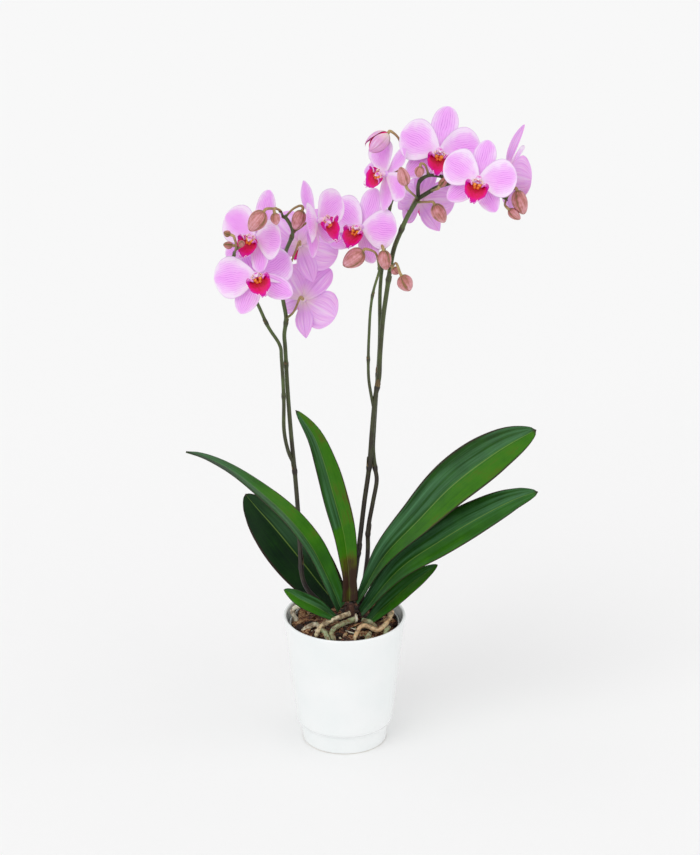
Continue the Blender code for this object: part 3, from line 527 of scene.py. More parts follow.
def tepal_back(name, mauve, keel):
    """The outside of a petal or sepal: mauver than its face, ribbed, with a keel and a pale yellow-green claw."""
    made, tree, shader = new_material(name, IOR=1.4, Subsurface_Weight=0.1, Subsurface_Scale=0.0015)
    chart = add(tree, "TexCoord", out=2)
    along = add(tree, "SeparateXYZ", {"Vector": chart}, out=0)
    across = add(tree, "SeparateXYZ", {"Vector": chart}, out=1)
    ribs = add(tree, "TexNoise", {"Vector": add(tree, "Mapping", {"Vector": chart, "Scale": (2.5, 34.0, 1.0)}),
                                  "Scale": 1.0, "Detail": 3.0})
    tint = add(tree, "ValToRGB", {"Fac": ribs}, stops=[(0.3, "#F4D2F5"), (0.5, mauve), (0.72, "#DD98E2")])
    offset = add(tree, "Math", {0: add(tree, "Math", {0: across, 1: 0.5}, operation="SUBTRACT")}, operation="ABSOLUTE")
    rib = add(tree, "ValToRGB", {"Fac": offset}, stops=[(0.01, 0.6), (0.05, 0.0)])
    tint = blended(tree, rib, tint, colour(keel))
    claw = add(tree, "ValToRGB", {"Fac": along}, stops=[(0.06, 0.9), (0.42, 0.0)])
    tint = blended(tree, claw, tint, colour("#F1E6CF"))
    rough = add(tree, "MapRange", {"Value": ribs, "To Min": 0.5, "To Max": 0.7})
    connect(tree, shader, tint, rough, ribs, 0.2 * MM)
    return made


def lip_flesh():
    """The lip: fleshy and waxy, magenta with crimson towards the throat and a pale edge on the side lobes."""
    made, tree, shader = new_material("lip flesh", IOR=1.42, Coat_Weight=0.05, Coat_Roughness=0.25,
                                      Subsurface_Weight=0.05, Subsurface_Scale=0.001, Specular_IOR_Level=0.25)
    point = add(tree, "TexCoord", out=3)
    tone = add(tree, "Attribute", out=2, attribute_name="tone")
    cloud = add(tree, "TexNoise", {"Vector": point, "Scale": 1 / (2.5 * MM), "Detail": 3.0})
    shift = add(tree, "MapRange", {"Value": cloud, "To Min": -0.18, "To Max": 0.18})
    tint = add(tree, "ValToRGB", {"Fac": add(tree, "Math", {0: tone, 1: shift}, operation="ADD")},
               stops=[(0.0, "#E8701A"), (0.12, "#D03018"), (0.24, "#B40026"), (0.42, "#DC005A"), (0.62, "#E6008A"),
                      (0.78, "#CC00A4"), (0.92, "#EC96DE"), (1.0, "#FBEAF6")])
    rough = add(tree, "MapRange", {"Value": cloud, "To Min": 0.3, "To Max": 0.5})
    connect(tree, shader, tint, rough, cloud, 0.12 * MM)
    return made


def callus_flesh():
    """The callus at the lip's throat: glossy orange-yellow bumps with crimson spots."""
    made, tree, shader = new_material("callus flesh", IOR=1.46, Coat_Weight=0.3, Coat_Roughness=0.15)
    point = add(tree, "TexCoord", out=3)
    spots = add(tree, "TexVoronoi", {"Vector": point, "Scale": 1 / (1.7 * MM)})
    mask = add(tree, "ValToRGB", {"Fac": spots}, stops=[(0.3, 1.0), (0.42, 0.0)])
    cloud = add(tree, "TexNoise", {"Vector": point, "Scale": 1 / (2 * MM)})
    tone = add(tree, "Attribute", out=2, attribute_name="tone")
    shift = add(tree, "MapRange", {"Value": cloud, "To Min": -0.25, "To Max": 0.25})
    base = add(tree, "ValToRGB", {"Fac": add(tree, "Math", {0: tone, 1: shift}, operation="ADD")},
               stops=[(0.1, "#E86A08"), (0.4, "#F59A1C"), (0.7, "#F6C878"), (0.95, "#F6DCE0")])
    tint = blended(tree, mask, base, colour("#B8102C"))
    rough = add(tree, "MapRange", {"Value": cloud, "To Min": 0.25, "To Max": 0.4})
    connect(tree, shader, tint, rough, spots, 0.1 * MM)
    return made


def column_flesh():
    """The column and its anther cap: waxy white flushed pink, magenta along the top."""
    made, tree, shader = new_material("column flesh", IOR=1.45, Coat_Weight=0.25, Coat_Roughness=0.2,
                                      Subsurface_Weight=0.12, Subsurface_Scale=0.0012)
    point = add(tree, "TexCoord", out=3)
    tone = add(tree, "Attribute", out=2, attribute_name="tone")
    cloud = add(tree, "TexNoise", {"Vector": point, "Scale": 1 / (1.8 * MM), "Detail": 3.0})
    shift = add(tree, "MapRange", {"Value": cloud, "To Min": -0.2, "To Max": 0.2})
    tint = add(tree, "ValToRGB", {"Fac": add(tree, "Math", {0: tone, 1: shift}, operation="ADD")},
               stops=[(0.1, "#FBF1F6"), (0.45, "#F3C6EA"), (0.75, "#E25CC6"), (0.95, "#C60A6E")])
    rough = add(tree, "MapRange", {"Value": cloud, "To Min": 0.28, "To Max": 0.45})
    connect(tree, shader, tint, rough, cloud, 0.08 * MM)
    return made


def bud_skin():
    """Closed sepals of a bud: dusty pink-brown, velvety, ribbed lengthwise, greenish tan at the seams and the base."""
    made, tree, shader = new_material("bud skin", IOR=1.42, Subsurface_Weight=0.06, Subsurface_Scale=0.001,
                                      Sheen_Weight=0.15, Sheen_Roughness=0.5)
    chart = add(tree, "TexCoord", out=2)
    point = add(tree, "TexCoord", out=3)
    tone = add(tree, "Attribute", out=2, attribute_name="tone")
    ribs = add(tree, "TexNoise", {"Vector": add(tree, "Mapping", {"Vector": chart, "Scale": (1.6, 30.0, 1.0)}),
                                  "Scale": 1.0, "Detail": 3.0})
    cloud = add(tree, "TexNoise", {"Vector": point, "Scale": 1 / (6 * MM), "Detail": 3.0})
    shift = add(tree, "MapRange", {"Value": add(tree, "Math", {0: ribs, 1: cloud}, operation="ADD"),
                                   "From Min": 0.7, "From Max": 1.3, "To Min": -0.3, "To Max": 0.3})
    tint = add(tree, "ValToRGB", {"Fac": add(tree, "Math", {0: tone, 1: shift}, operation="ADD")},
               stops=[(0.0, "#5E5226"), (0.2, "#8C6B40"), (0.4, "#AE6C62"), (0.6, "#C98484"), (0.85, "#DEA0A8"),
                      (1.0, "#EDBACB")])
    rough = add(tree, "MapRange", {"Value": ribs, "To Min": 0.45, "To Max": 0.65})
    connect(tree, shader, tint, rough, ribs, 0.25 * MM)
    return made


# ---------------------------------------------------------------- shaping

def new_mesh():
    """A mesh in the making, with a chart for patterns that follow the surface and a tone for colours that vary."""
    bm = bmesh.new()
    bm.loops.layers.uv.new("chart")
    bm.verts.layers.float.new("tone")
    return bm


def sheet_of(bm, along, around, shape, tone=0.5, chart=None, finish=0):
    """A grid of along by around cells whose points shape(s, t) places; a seam or an end that meets is welded.
    finish is a material's number, or a function of s and t that gives it."""
    uv = bm.loops.layers.uv["chart"]
    tones = bm.verts.layers.float["tone"]
    points = bmesh.ops.create_grid(bm, x_segments=along, y_segments=around, size=0.5)["verts"]
    for face in {face for point in points for face in point.link_faces}:
        middle = face.calc_center_median()
        face.material_index = finish(middle.x + 0.5, middle.y + 0.5) if callable(finish) else finish
        face.smooth = True
        for loop in face.loops:
            s, t = loop.vert.co.x + 0.5, loop.vert.co.y + 0.5
            loop[uv].uv = chart(s, t) if chart else (s, t)
    for point in points:
        s, t = point.co.x + 0.5, point.co.y + 0.5
        point[tones] = tone(s, t) if callable(tone) else tone
        point.co = shape(s, t)
    bmesh.ops.remove_doubles(bm, verts=points, dist=0.002 * MM)


def finished(bm, name, materials, slot, *nodes):
    """The mesh as a piece that rides on the root body and stands for the nodes."""
    bmesh.ops.recalc_face_normals(bm, faces=bm.faces)
    mesh = bpy.data.meshes.new(name)
    bm.to_mesh(mesh)
    bm.free()
    for material in materials:
        mesh.materials.append(material)
    piece = bpy.data.objects.new(name, mesh)
    bpy.context.scene.collection.objects.link(piece)
    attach(piece, "root")
    if nodes:
        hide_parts(*nodes)
    return piece


def smooth_route(points, spacing):
    """Points about this far apart on a Catmull-Rom curve through the given ones."""
    ends = [points[0] * 2 - points[1]] + list(points) + [points[-1] * 2 - points[-2]]
    route = [points[0].copy()]
    for before, a, b, after in zip(ends, ends[1:], ends[2:], ends[3:]):
        count = max(1, round((b - a).length / spacing))
        for i in range(1, count + 1):
            t = i / count
            route.append(0.5 * (a * 2 + (b - before) * t + (before * 2 - a * 5 + b * 4 - after) * t * t
                                + (a * 3 - before - b * 3 + after) * t ** 3))
    return route


def frames_along(route):
    """At each point of a route, two directions square to it that turn as little as they can."""
    frames = []
    side = None
    for i in range(len(route)):
        ahead = (route[min(i + 1, len(route) - 1)] - route[max(i - 1, 0)]).normalized()
        if side is None:
            side = ahead.orthogonal()
        side = (side - ahead * side.dot(ahead)).normalized()
        frames.append((side, ahead.cross(side)))
    return frames


def limb(bm, route, radius, sides=14, tone=0.5, finish=0):
    """A round limb with flat ends along a route; radius and tone take the share of its length and the angle."""
    frames = frames_along(route)
    last = len(route) - 1
    rings = last + 2

    def shape(s, t):
        ring = round(s * rings)
        i = min(max(ring - 1, 0), last)
        side, up = frames[i]
        turn = 2 * math.pi * t
        thick = 0.0 if ring in (0, rings) else radius(i / last, turn)
        return route[i] + (side * math.cos(turn) + up * math.sin(turn)) * thick

    def shade(s, t):
        return tone(min(max((round(s * rings) - 1) / last, 0.0), 1.0), t) if callable(tone) else tone

    sheet_of(bm, rings, sides, shape, shade, finish=finish)


def blob(bm, centre, axes, radii, tone=0.5, finish=0, across=12):
    """An egg-shaped lump with the given radii along three axes."""
    first, second, third = axes

    def shape(s, t):
        rise, turn = math.pi * (s - 0.5), 2 * math.pi * t
        return (centre + first * radii[0] * math.sin(rise) + second * radii[1] * math.cos(rise) * math.cos(turn)
                + third * radii[2] * math.cos(rise) * math.sin(turn))

    sheet_of(bm, across // 2 + 2, across, shape, tone, finish=finish)


def rounded(s, peak, squareness):
    """A blade's half width at s as a share of the widest, with a narrow base and tip."""
    power = math.log(0.5) / math.log(peak)
    return max(math.sin(math.pi * min(max(s, 0.0), 1.0) ** power), 0.0) ** squareness


def eased(stops, s):
    """A smooth value at s between (place, value) stops."""
    for (start, first), (end, second) in zip(stops, stops[1:]):
        if s <= end:
            share = (s - start) / (end - start)
            return first + (second - first) * share * share * (3 - 2 * share)
    return stops[-1][1]


def section(t):
    """Round a blade's section at t: how far across it (-1 to 1) and how far out of its plane (-1 to 1)."""
    return math.cos(2 * math.pi * t), math.sin(2 * math.pi * t)


def blade_chart(s, t):
    return s, 0.5 + 0.5 * section(t)[0]


def frame_of(face, up):
    """A flower's own axes: where it faces, its top and its right."""
    face = Vector(face).normalized()
    up = Vector(up)
    up = (up - face * up.dot(face)).normalized()
    return face, up, up.cross(face)


def turned(bm, profile, steps, finish=0):
    """Spins an outline of (radius, height) points round the pot's axis, with its ends on the axis."""
    points = [bm.verts.new((radius, 0.0, height)) for radius, height in profile]
    edges = [bm.edges.new(pair) for pair in zip(points, points[1:])]
    bmesh.ops.spin(bm, geom=points + edges, cent=(0, 0, 0), axis=(0, 0, 1), angle=2 * math.pi, steps=steps,
                   use_merge=True)
    bmesh.ops.remove_doubles(bm, verts=bm.verts, dist=0.002 * MM)
    for face in bm.faces:
        face.smooth = True
        face.material_index = finish


def arc(centre, radius, start, end, count):
    """Points of a round stretch of an outline, angles in degrees."""
    turns = [math.radians(start + (end - start) * i / count) for i in range(count + 1)]
    return [(centre[0] + radius * math.cos(a), centre[1] + radius * math.sin(a)) for a in turns]


def ripple(point, size):
    """Smooth noise from -1 to 1 whose lumps are about this size."""
    return noise.noise(point / size)


# ---------------------------------------------------------------- pieces

def pot(glaze, clay):
    """The glazed pot: rounded rim, straight sides, a rounded shoulder over its foot, and a bare foot ring."""
    shoulder = FOOT_RADIUS + FOOT_FLARE + STEP_OUT
    lip = POT_WALL / 2
    low = FOOT_HEIGHT + STEP_RISE
    slope = (RIM_RADIUS - shoulder) / (POT_HEIGHT - low)
    ring = 1.6 * MM
    profile = [(0.0, POT_FLOOR)]
    profile += arc((FOOT_RADIUS - POT_WALL - 2 * MM, POT_FLOOR + 2 * MM), 2 * MM, -90, 0, 5)
    profile += [(FOOT_RADIUS - POT_WALL + FOOT_FLARE, FOOT_HEIGHT), (shoulder - POT_WALL, low)]
    profile += arc((RIM_RADIUS - lip, POT_HEIGHT - lip), lip, 180, 0, 12)
    profile += [(RIM_RADIUS - slope * 6 * MM, POT_HEIGHT - 6 * MM), (shoulder + slope * 2 * MM, low + 2 * MM)]
    profile += arc((shoulder - STEP_OUT, low), STEP_OUT, 0, -72, 8)
    crease = FOOT_RADIUS + FOOT_FLARE
    profile += [(crease + 0.5 * MM, FOOT_HEIGHT + 2.2 * MM), (crease, FOOT_HEIGHT), (crease, FOOT_HEIGHT - 2 * MM)]
    profile += [(FOOT_RADIUS, ring)]
    profile += arc((FOOT_RADIUS - 1.2 * MM, 1.2 * MM), 1.2 * MM, 0, -90, 4)
    profile += [(FOOT_RADIUS - 4 * MM, 0.0), (FOOT_RADIUS - 5.5 * MM, ring), (0.0, ring)]
    bm = new_mesh()
    turned(bm, profile, 128)
    for face in bm.faces:
        if face.calc_center_median().z < 0.6 * MM:
            face.material_index = 1
    finished(bm, "glazed_pot", [glaze, clay], "glaze", "pot")


def growers_pot(plastic):
    """The inner pot: a thin wall with a rolled rim."""
    wall = 1.0 * MM
    low = FOOT_RADIUS - POT_WALL - 2 * GAP
    roll = 0.9 * MM
    rim = arc((LINER_RADIUS - wall / 2, LINER_TOP - roll), roll, 200, -20, 10)
    profile = [(0.0, LINER_FLOOR + wall), (low - wall, LINER_FLOOR + wall)]
    profile += [(LINER_RADIUS - wall - 1.2 * MM, LINER_TOP - 8 * MM)] + rim
    profile += [(LINER_RADIUS - 1.2 * MM, LINER_TOP - 8 * MM), (low, LINER_FLOOR), (0.0, LINER_FLOOR)]
    bm = new_mesh()
    turned(bm, profile, 96)
    finished(bm, "growers_pot_wall", [plastic], "liner_plastic", "growers_pot")


def bark_bed(bark):
    """The fines under the chips: a lumpy surface over a plain cone."""
    bm = new_mesh()
    low = FOOT_RADIUS - POT_WALL - 3 * MM
    top = BARK_TOP - 2.5 * MM

    def shape(s, t):
        turn = 2 * math.pi * t
        if s < 0.75:
            radius, height = BARK_RADIUS * s / 0.75, top
            point = Vector((radius * math.cos(turn), radius * math.sin(turn), height))
            point.z += 1.6 * MM * ripple(point, 5 * MM) * (1 if radius < 0.95 * BARK_RADIUS else 0)
            return point
        fall = (s - 0.75) / 0.25
        radius = (BARK_RADIUS + (low - BARK_RADIUS) * fall) * (0.0 if s > 0.999 else 1.0)
        return Vector((radius * math.cos(turn), radius * math.sin(turn), top + (BARK_FLOOR - top) * fall))

    sheet_of(bm, 60, 96, shape, tone=-0.1)
    finished(bm, "bark_fines", [bark], "bark", "bark_mix")


def bark_chips(bark):
    """Loose chips in two layers, flat at the bottom and tipped up at the top."""
    draw = random.Random(11)
    bm = new_mesh()
    for i in range(330):
        top_layer = i >= 150
        length, width, thick = draw.uniform(8, 21) * MM, draw.uniform(6, 12) * MM, draw.uniform(2.5, 5) * MM
        radius = (BARK_RADIUS - 1 * MM - 0.42 * length) * math.sqrt(draw.random())
        turn = draw.uniform(0, 2 * math.pi)
        spot = Vector((radius * math.cos(turn), radius * math.sin(turn), 0))
        watering = -34 * MM < spot.x < 2 * MM and spot.y > 26 * MM
        spot.z = BARK_TOP + (draw.uniform(-1.0, 5.0) if top_layer and not watering else -3.0) * MM
        tilt = 0.0 if watering else draw.uniform(-0.5, 0.5) if top_layer else draw.uniform(-0.2, 0.2)
        matrix = (Matrix.Translation(spot) @ Matrix.Rotation(draw.uniform(0, math.pi), 4, "Z")
                  @ Matrix.Rotation(tilt, 4, "X") @ Matrix.Rotation(0.5 * tilt, 4, "Y"))
        seed = Vector((i * 3.1, i * 1.7, i * 0.9))

        def chip(s, t):
            ring = round(5 * s)
            w, out = [math.copysign(abs(x) ** 0.5, x) * (0.0 if ring in (0, 5) else 1.0) for x in section(t)]
            spot = Vector(((-0.5, -0.5, -0.2, 0.2, 0.5, 0.5)[ring], 0.5 * w, 0.5 * out))
            jag = noise.noise_vector(spot * 1.9 + seed)
            return matrix @ Vector(((spot.x + 0.20 * jag.x) * length, (spot.y + 0.22 * jag.y) * width,
                                    (spot.z + 0.28 * jag.z) * thick))

        sheet_of(bm, 5, 8, chip, draw.uniform(-0.22, 0.62))
    for face in bm.faces:
        face.smooth = False
    finished(bm, "bark_chips", [bark], "bark")


def roots(velamen):
    """Aerial roots over the bark, each swollen and creased, with a blunt tip."""
    for name, (route, hue) in ROOTS.items():
        line = smooth_route([place(*p) + Vector((0, 0, GAP)) for p in route], 1.2 * MM)

        def radius(s, turn):
            point = line[round(s * (len(line) - 1))]
            swell = 1.0 - 0.2 * s + 0.22 * ripple(point + Vector((0, 0, turn * MM)), 4 * MM)
            blunt = math.sqrt(max(0.0, 1.0 - max(0.0, (s - 0.93) / 0.07) ** 2)) if s > 0.93 else 1.0
            return 1.15 * ROOT_RADIUS * swell * max(blunt, 0.15)

        def tone(s, t):
            return hue + 0.12 * ripple(line[round(s * (len(line) - 1))], 9 * MM)

        bm = new_mesh()
        limb(bm, line, radius, 16, tone)
        finished(bm, name + "_velamen", [velamen], "root", name)


def fine_roots(velamen):
    """Thin dry roots that lie between the chips."""
    draw = random.Random(5)
    bm = new_mesh()
    for points, share, hue in LOOSE_ROOTS:
        line = smooth_route([place(*p) for p in points], 1.2 * MM)
        limb(bm, line, lambda s, turn: 1.15 * share * ROOT_RADIUS * (1.0 - 0.2 * s + 0.1 * math.sin(11 * s + turn))
             * max(0.2, math.sqrt(max(0.0, 1 - max(0.0, (s - 0.9) / 0.1) ** 2))), 14, hue)
    for i in range(30):
        start = Vector((draw.uniform(-34, 34), draw.uniform(-46, -4), draw.uniform(2.0, 4.0)))
        heading = draw.uniform(0, 2 * math.pi)
        points = [start]
        for step in range(3):
            heading += draw.uniform(-0.7, 0.7)
            reach = Vector((math.cos(heading), math.sin(heading), 0)) * draw.uniform(6, 11)
            points.append(points[-1] + reach + Vector((0, 0, draw.uniform(-1.2, 1.2))))
        points = [p * min(1.0, 52.0 / max(math.hypot(p.x, p.y), 1.0)) for p in points]
        line = smooth_route([place(p.x, p.y, max(p.z, 1.0)) for p in points], 2 * MM)
        hue = draw.choice((0.05, 0.2, 0.45, 0.8, 0.95))
        thick = draw.uniform(1.0, 1.9) * MM
        limb(bm, line, lambda s, turn: thick * (1.0 - 0.5 * s), 8, hue)
    finished(bm, "fine_roots", [velamen], "root")


def crown(sheath):
    """The short stem that the leaves clasp, wrapped in three dried leaf bases."""
    low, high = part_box("crown")
    middle = (low + high) / 2
    radius = (high.x - low.x) / 2
    bm = new_mesh()
    for i, (start, end, share) in enumerate([(0.0, 1.0, 0.86), (0.0, 0.75, 0.95), (0.0, 0.5, 1.04)]):
        line = [Vector((middle.x, middle.y, low.z + (high.z - low.z) * (start + (end - start) * k / 12)))
                for k in range(13)]

        def girth(s, turn):
            lap = 0.06 * math.cos(turn - 2.1 * i) + 0.03 * math.sin(5 * turn + i)
            return radius * (share + lap - 0.33 * s * end) * (1 - 0.08 * s)

        limb(bm, line, girth, 40)
    finished(bm, "crown_sheaths", [sheath], "crown", "crown")


def leaf(name, spec, upper, lower):
    """One strap leaf: folded along a grooved midrib, keeled below, with a thin rounded margin."""
    points, width, widest, face_base, face_tip, painted_light_halves = spec
    route = smooth_route([place(*p) for p in points], 8 * MM)
    seed = Vector((len(name), points[-1][0] * 0.1, 0))

    def shape(s, t):
        s = 0.5 - 0.5 * math.cos(math.pi * s)
        w, out = section(t)
        spot = s * (len(route) - 1)
        i = min(int(spot), len(route) - 2)
        middle = route[i].lerp(route[i + 1], spot - i)
        ahead = (route[min(i + 2, len(route) - 1)] - route[max(i - 1, 0)]).normalized()
        face = Vector(face_base).lerp(Vector(face_tip), s)
        side = face.cross(ahead).normalized()
        face = ahead.cross(side)
        end = min(1.0, (1.0 - s) / 0.012, s / 0.004 + 0.0)
        stalk = 0.6 if name == "leaf_upright" else 0.12
        half = 0.5 * width * MM * max(rounded(0.10 + 0.90 * s, widest, 0.62), stalk * (1 - s)) * math.sqrt(max(end, 0.0))
        fold = LEAF_FOLD * (1.0 - 0.6 * s)
        lift = math.sqrt(w * w + 0.004) - 0.063
        wave = 0.02 * half * math.sin(9 * s + 3 * w + seed.x) + 0.5 * MM * ripple(Vector((6 * s, 2 * w, 0)) + seed, 1.0)
        groove = 0.45 * MM * math.exp(-(w / 0.05) ** 2) * (1 if out > 0 else -1.3)
        thick = 0.5 * LEAF_THICKNESS * math.copysign(abs(out) ** 0.7, out) * (0.5 + 0.5 * (1 - w * w))
        rise = half * fold * lift + thick + (wave * abs(w) - groove) * min(1.0, half / (8 * MM)) * min(end, 1.0)
        return middle + side * half * w + face * rise

    # Painted light: each half of the blade is painted as bright as its table entry, blending from one to the other
    # across the midrib
    def tone(s, t):
        w = section(t)[0]
        share = min(max(0.5 + w / 0.12, 0.0), 1.0)
        # Painted shade darkens the blade towards the crown, and the tip keeps the given share of the painted light
        painted_light_along = eased([(0.0, 0.45), (0.3, 0.78), (0.5, 1.0), (0.8, painted_light_halves[2]), (1.0, painted_light_halves[2])], s)
        if name == "leaf_upright" and s < 0.42:
            return eased([(0.0, 1.35), (0.2, 1.3), (0.42, painted_light_halves[0] * 0.85)], s)
        return (painted_light_halves[0] + (painted_light_halves[1] - painted_light_halves[0]) * share) * painted_light_along

    bm = new_mesh()
    sheet_of(bm, 72, 44, shape, tone, blade_chart, lambda s, t: 0 if t < 0.5 else 1)
    finished(bm, name + "_blade", [upper, lower], "leaf", name)


def bract(bm, route, at, length, radius, turn_from, finish):
    """A clasping scale on a limb: it wraps the limb at its foot and narrows to a point that stands off a little."""
    frames = frames_along(route)
    steps = max(2, round(length / (route[1] - route[0]).length))
    first = min(max(round(at * (len(route) - 1)), 0), len(route) - 2)

    def shape(s, t):
        i = min(first + round(s * steps), len(route) - 1)
        w, out = section(t)
        side, up = frames[i]
        turn = turn_from + w * 2.0 * (1.0 - s ** 1.5) * 0.9
        thick = radius * (1.12 + 0.25 * s) + 0.18 * MM * out * (0.0 if s in (0.0, 1.0) else 1.0)
        return route[i] + (side * math.cos(turn) + up * math.sin(turn)) * thick

    sheet_of(bm, steps, 20, shape, 0.5, blade_chart, finish)


def stem(name, limbs, skin, husk):
    """A flower stem with its branches, nodes, bracts and pedicels, each pedicel thickening to its flower or bud."""
    bm = new_mesh()
    for k, (points, start, end, dark, light, nodes) in enumerate(limbs):
        line = smooth_route([place(*p) for p in points], 2.5 * MM)
        reach = sum((b - a).length for a, b in zip(line, line[1:]))

        def radius(s, turn):
            swell = sum(0.32 * math.exp(-((s - node) * reach / (3.2 * MM)) ** 2) for node in nodes)
            return STEM_RADIUS * (start + (end - start) * s) * (1 + swell + 0.03 * math.sin(3 * turn + 30 * s))

        def tone(s, t):
            ring = sum(math.exp(-((s - node) * reach / (2.0 * MM)) ** 2) for node in nodes)
            return dark + (light - dark) * min(1.0, 1.25 * s) - 0.16 * ring

        limb(bm, line, radius, 16, tone)
        for n, node in enumerate(nodes):
            thick = STEM_RADIUS * (start + (end - start) * node)
            length = (13 if node < 0.6 and k == 0 else 5) * MM
            bract(bm, line, node, length, thick, 1.9 * n + k, 1)
    hung = [(f, place(*FLOWERS[f][0]), line) for f, (owner, line) in FLOWER_PEDICELS.items() if owner == name]
    for flower_name, centre, line in hung:
        face = frame_of(*FLOWERS[flower_name][1:3])[0]
        end = centre - face * (HUB_LENGTH * 0.6 + GAP)
        path = smooth_route([place(*p) for p in line] + [end - face * 7 * MM, end], 1.5 * MM)
        limb(bm, path, lambda s, turn: PEDICEL_RADIUS * (1.35 - 0.3 * math.sin(math.pi * s)
                                                         + 0.5 * max(0.0, s - 0.7) / 0.3
                                                         + 0.05 * math.sin(3 * turn + 9 * s)), 12,
             lambda s, t: eased([(0.0, 0.6), (0.5, 0.85), (1.0, 1.0)], s))
        bract(bm, path, 0.0, 6 * MM, PEDICEL_RADIUS * 1.5, 2.0, 1)
    for base, tip, width, owner, line in BUDS.values():
        if owner == name:
            base, tip = place(*base), place(*tip)
            along = (tip - base).normalized()
            end = base - along * GAP
            path = smooth_route([place(*p) for p in line] + [end - along * 3 * MM, end + along * 0.8 * MM], 1.5 * MM)
            limb(bm, path, lambda s, turn: PEDICEL_RADIUS * (1.25 - 0.35 * math.sin(math.pi * s) + 0.35 * s), 12,
                 lambda s, t: eased([(0.0, 0.5), (0.4, 0.8), (1.0, 0.95)], s))
            bract(bm, path, 0.0, 4 * MM, PEDICEL_RADIUS * 1.4, 1.0, 1)
    finished(bm, name + "_skin", [skin, husk], "stem", name)


def tepal(bm, middle, axes, spec, size, bend, seed):
    """One petal or sepal: cupped, with a rippled edge, a midrib and a thin margin."""
    face, up, right = axes
    part, angle, (length, width), peak, squareness, forward, is_petal = spec
    length, width = length * size * MM, width * size * MM
    turn, lift = math.radians(angle), math.radians(bend)
    out = up * math.cos(turn) + right * math.sin(turn)
    side = right * math.cos(turn) - up * math.sin(turn)
    ahead = out * math.cos(lift) + face * math.sin(lift)
    front = face * math.cos(lift) - out * math.sin(lift)
    start = middle + face * forward * MM
    phase = Vector((seed * 1.7, seed * 0.6, angle * 0.05))

    def shape(s, t):
        s = 0.5 - 0.5 * math.cos(math.pi * s)
        w, over = section(t)
        inside = 0.0 if s < 0.0005 or s > 0.9995 else 1.0
        half = 0.5 * width * inside * max(rounded(s, peak, squareness), 0.13 * (s < 0.5))
        edge = Vector((3 * s, math.copysign(1.0, w), 0))
        half *= 1.0 + 0.045 * noise.noise(phase + edge) + 0.018 * noise.noise(phase + edge * 4)
        hollow = 0.08 * length * math.sin(math.pi * s)
        frill = 0.05 * half * abs(w) ** 3 * math.sin(7 * s + 2.5 * math.copysign(1, w) + phase.x)
        buckle = 0.9 * MM * noise.noise(phase + Vector((2.4 * s, 1.2 * w, 1.0))) * math.sin(math.pi * s)
        keel = 0.5 * MM * math.exp(-(w / 0.1) ** 2) * math.sin(math.pi * s) * (-0.5 if over > 0 else 1.0)
        thick = 0.5 * TEPAL_THICKNESS * over * inside * (0.3 + 0.7 * math.sin(math.pi * s) ** 0.5)
        rise = 0.12 * half * w * w + frill + buckle + thick - hollow - (keel if not is_petal else 0.4 * keel)
        return start + ahead * length * s + side * half * w + front * rise

    flush = 0.95 + 0.25 * noise.noise(phase * 3.7)
    sheet_of(bm, 34, 36, shape, flush, blade_chart, lambda s, t: (0 if is_petal else 2) + (0 if t < 0.5 else 1))


def lobe(bm, line, half_width, inward, thickness, bulge, tone, along=18, across=20):
    """A fleshy lobe of the lip along a line, with its inner face towards inward."""
    def shape(s, t):
        w, over = section(t)
        spot = s * (len(line) - 1)
        i = min(int(spot), len(line) - 2)
        ahead = (line[min(i + 2, len(line) - 1)] - line[max(i - 1, 0)]).normalized()
        side = inward.cross(ahead).normalized()
        normal = ahead.cross(side)
        half = half_width(s) * (0.0 if s in (0.0, 1.0) else 1.0)
        thick = 0.5 * thickness * over * (0.0 if s in (0.0, 1.0) else 1.0)
        return line[i].lerp(line[i + 1], spot - i) + side * half * w + normal * (thick + bulge * half * w * w)

    sheet_of(bm, along, across, shape, tone, blade_chart)


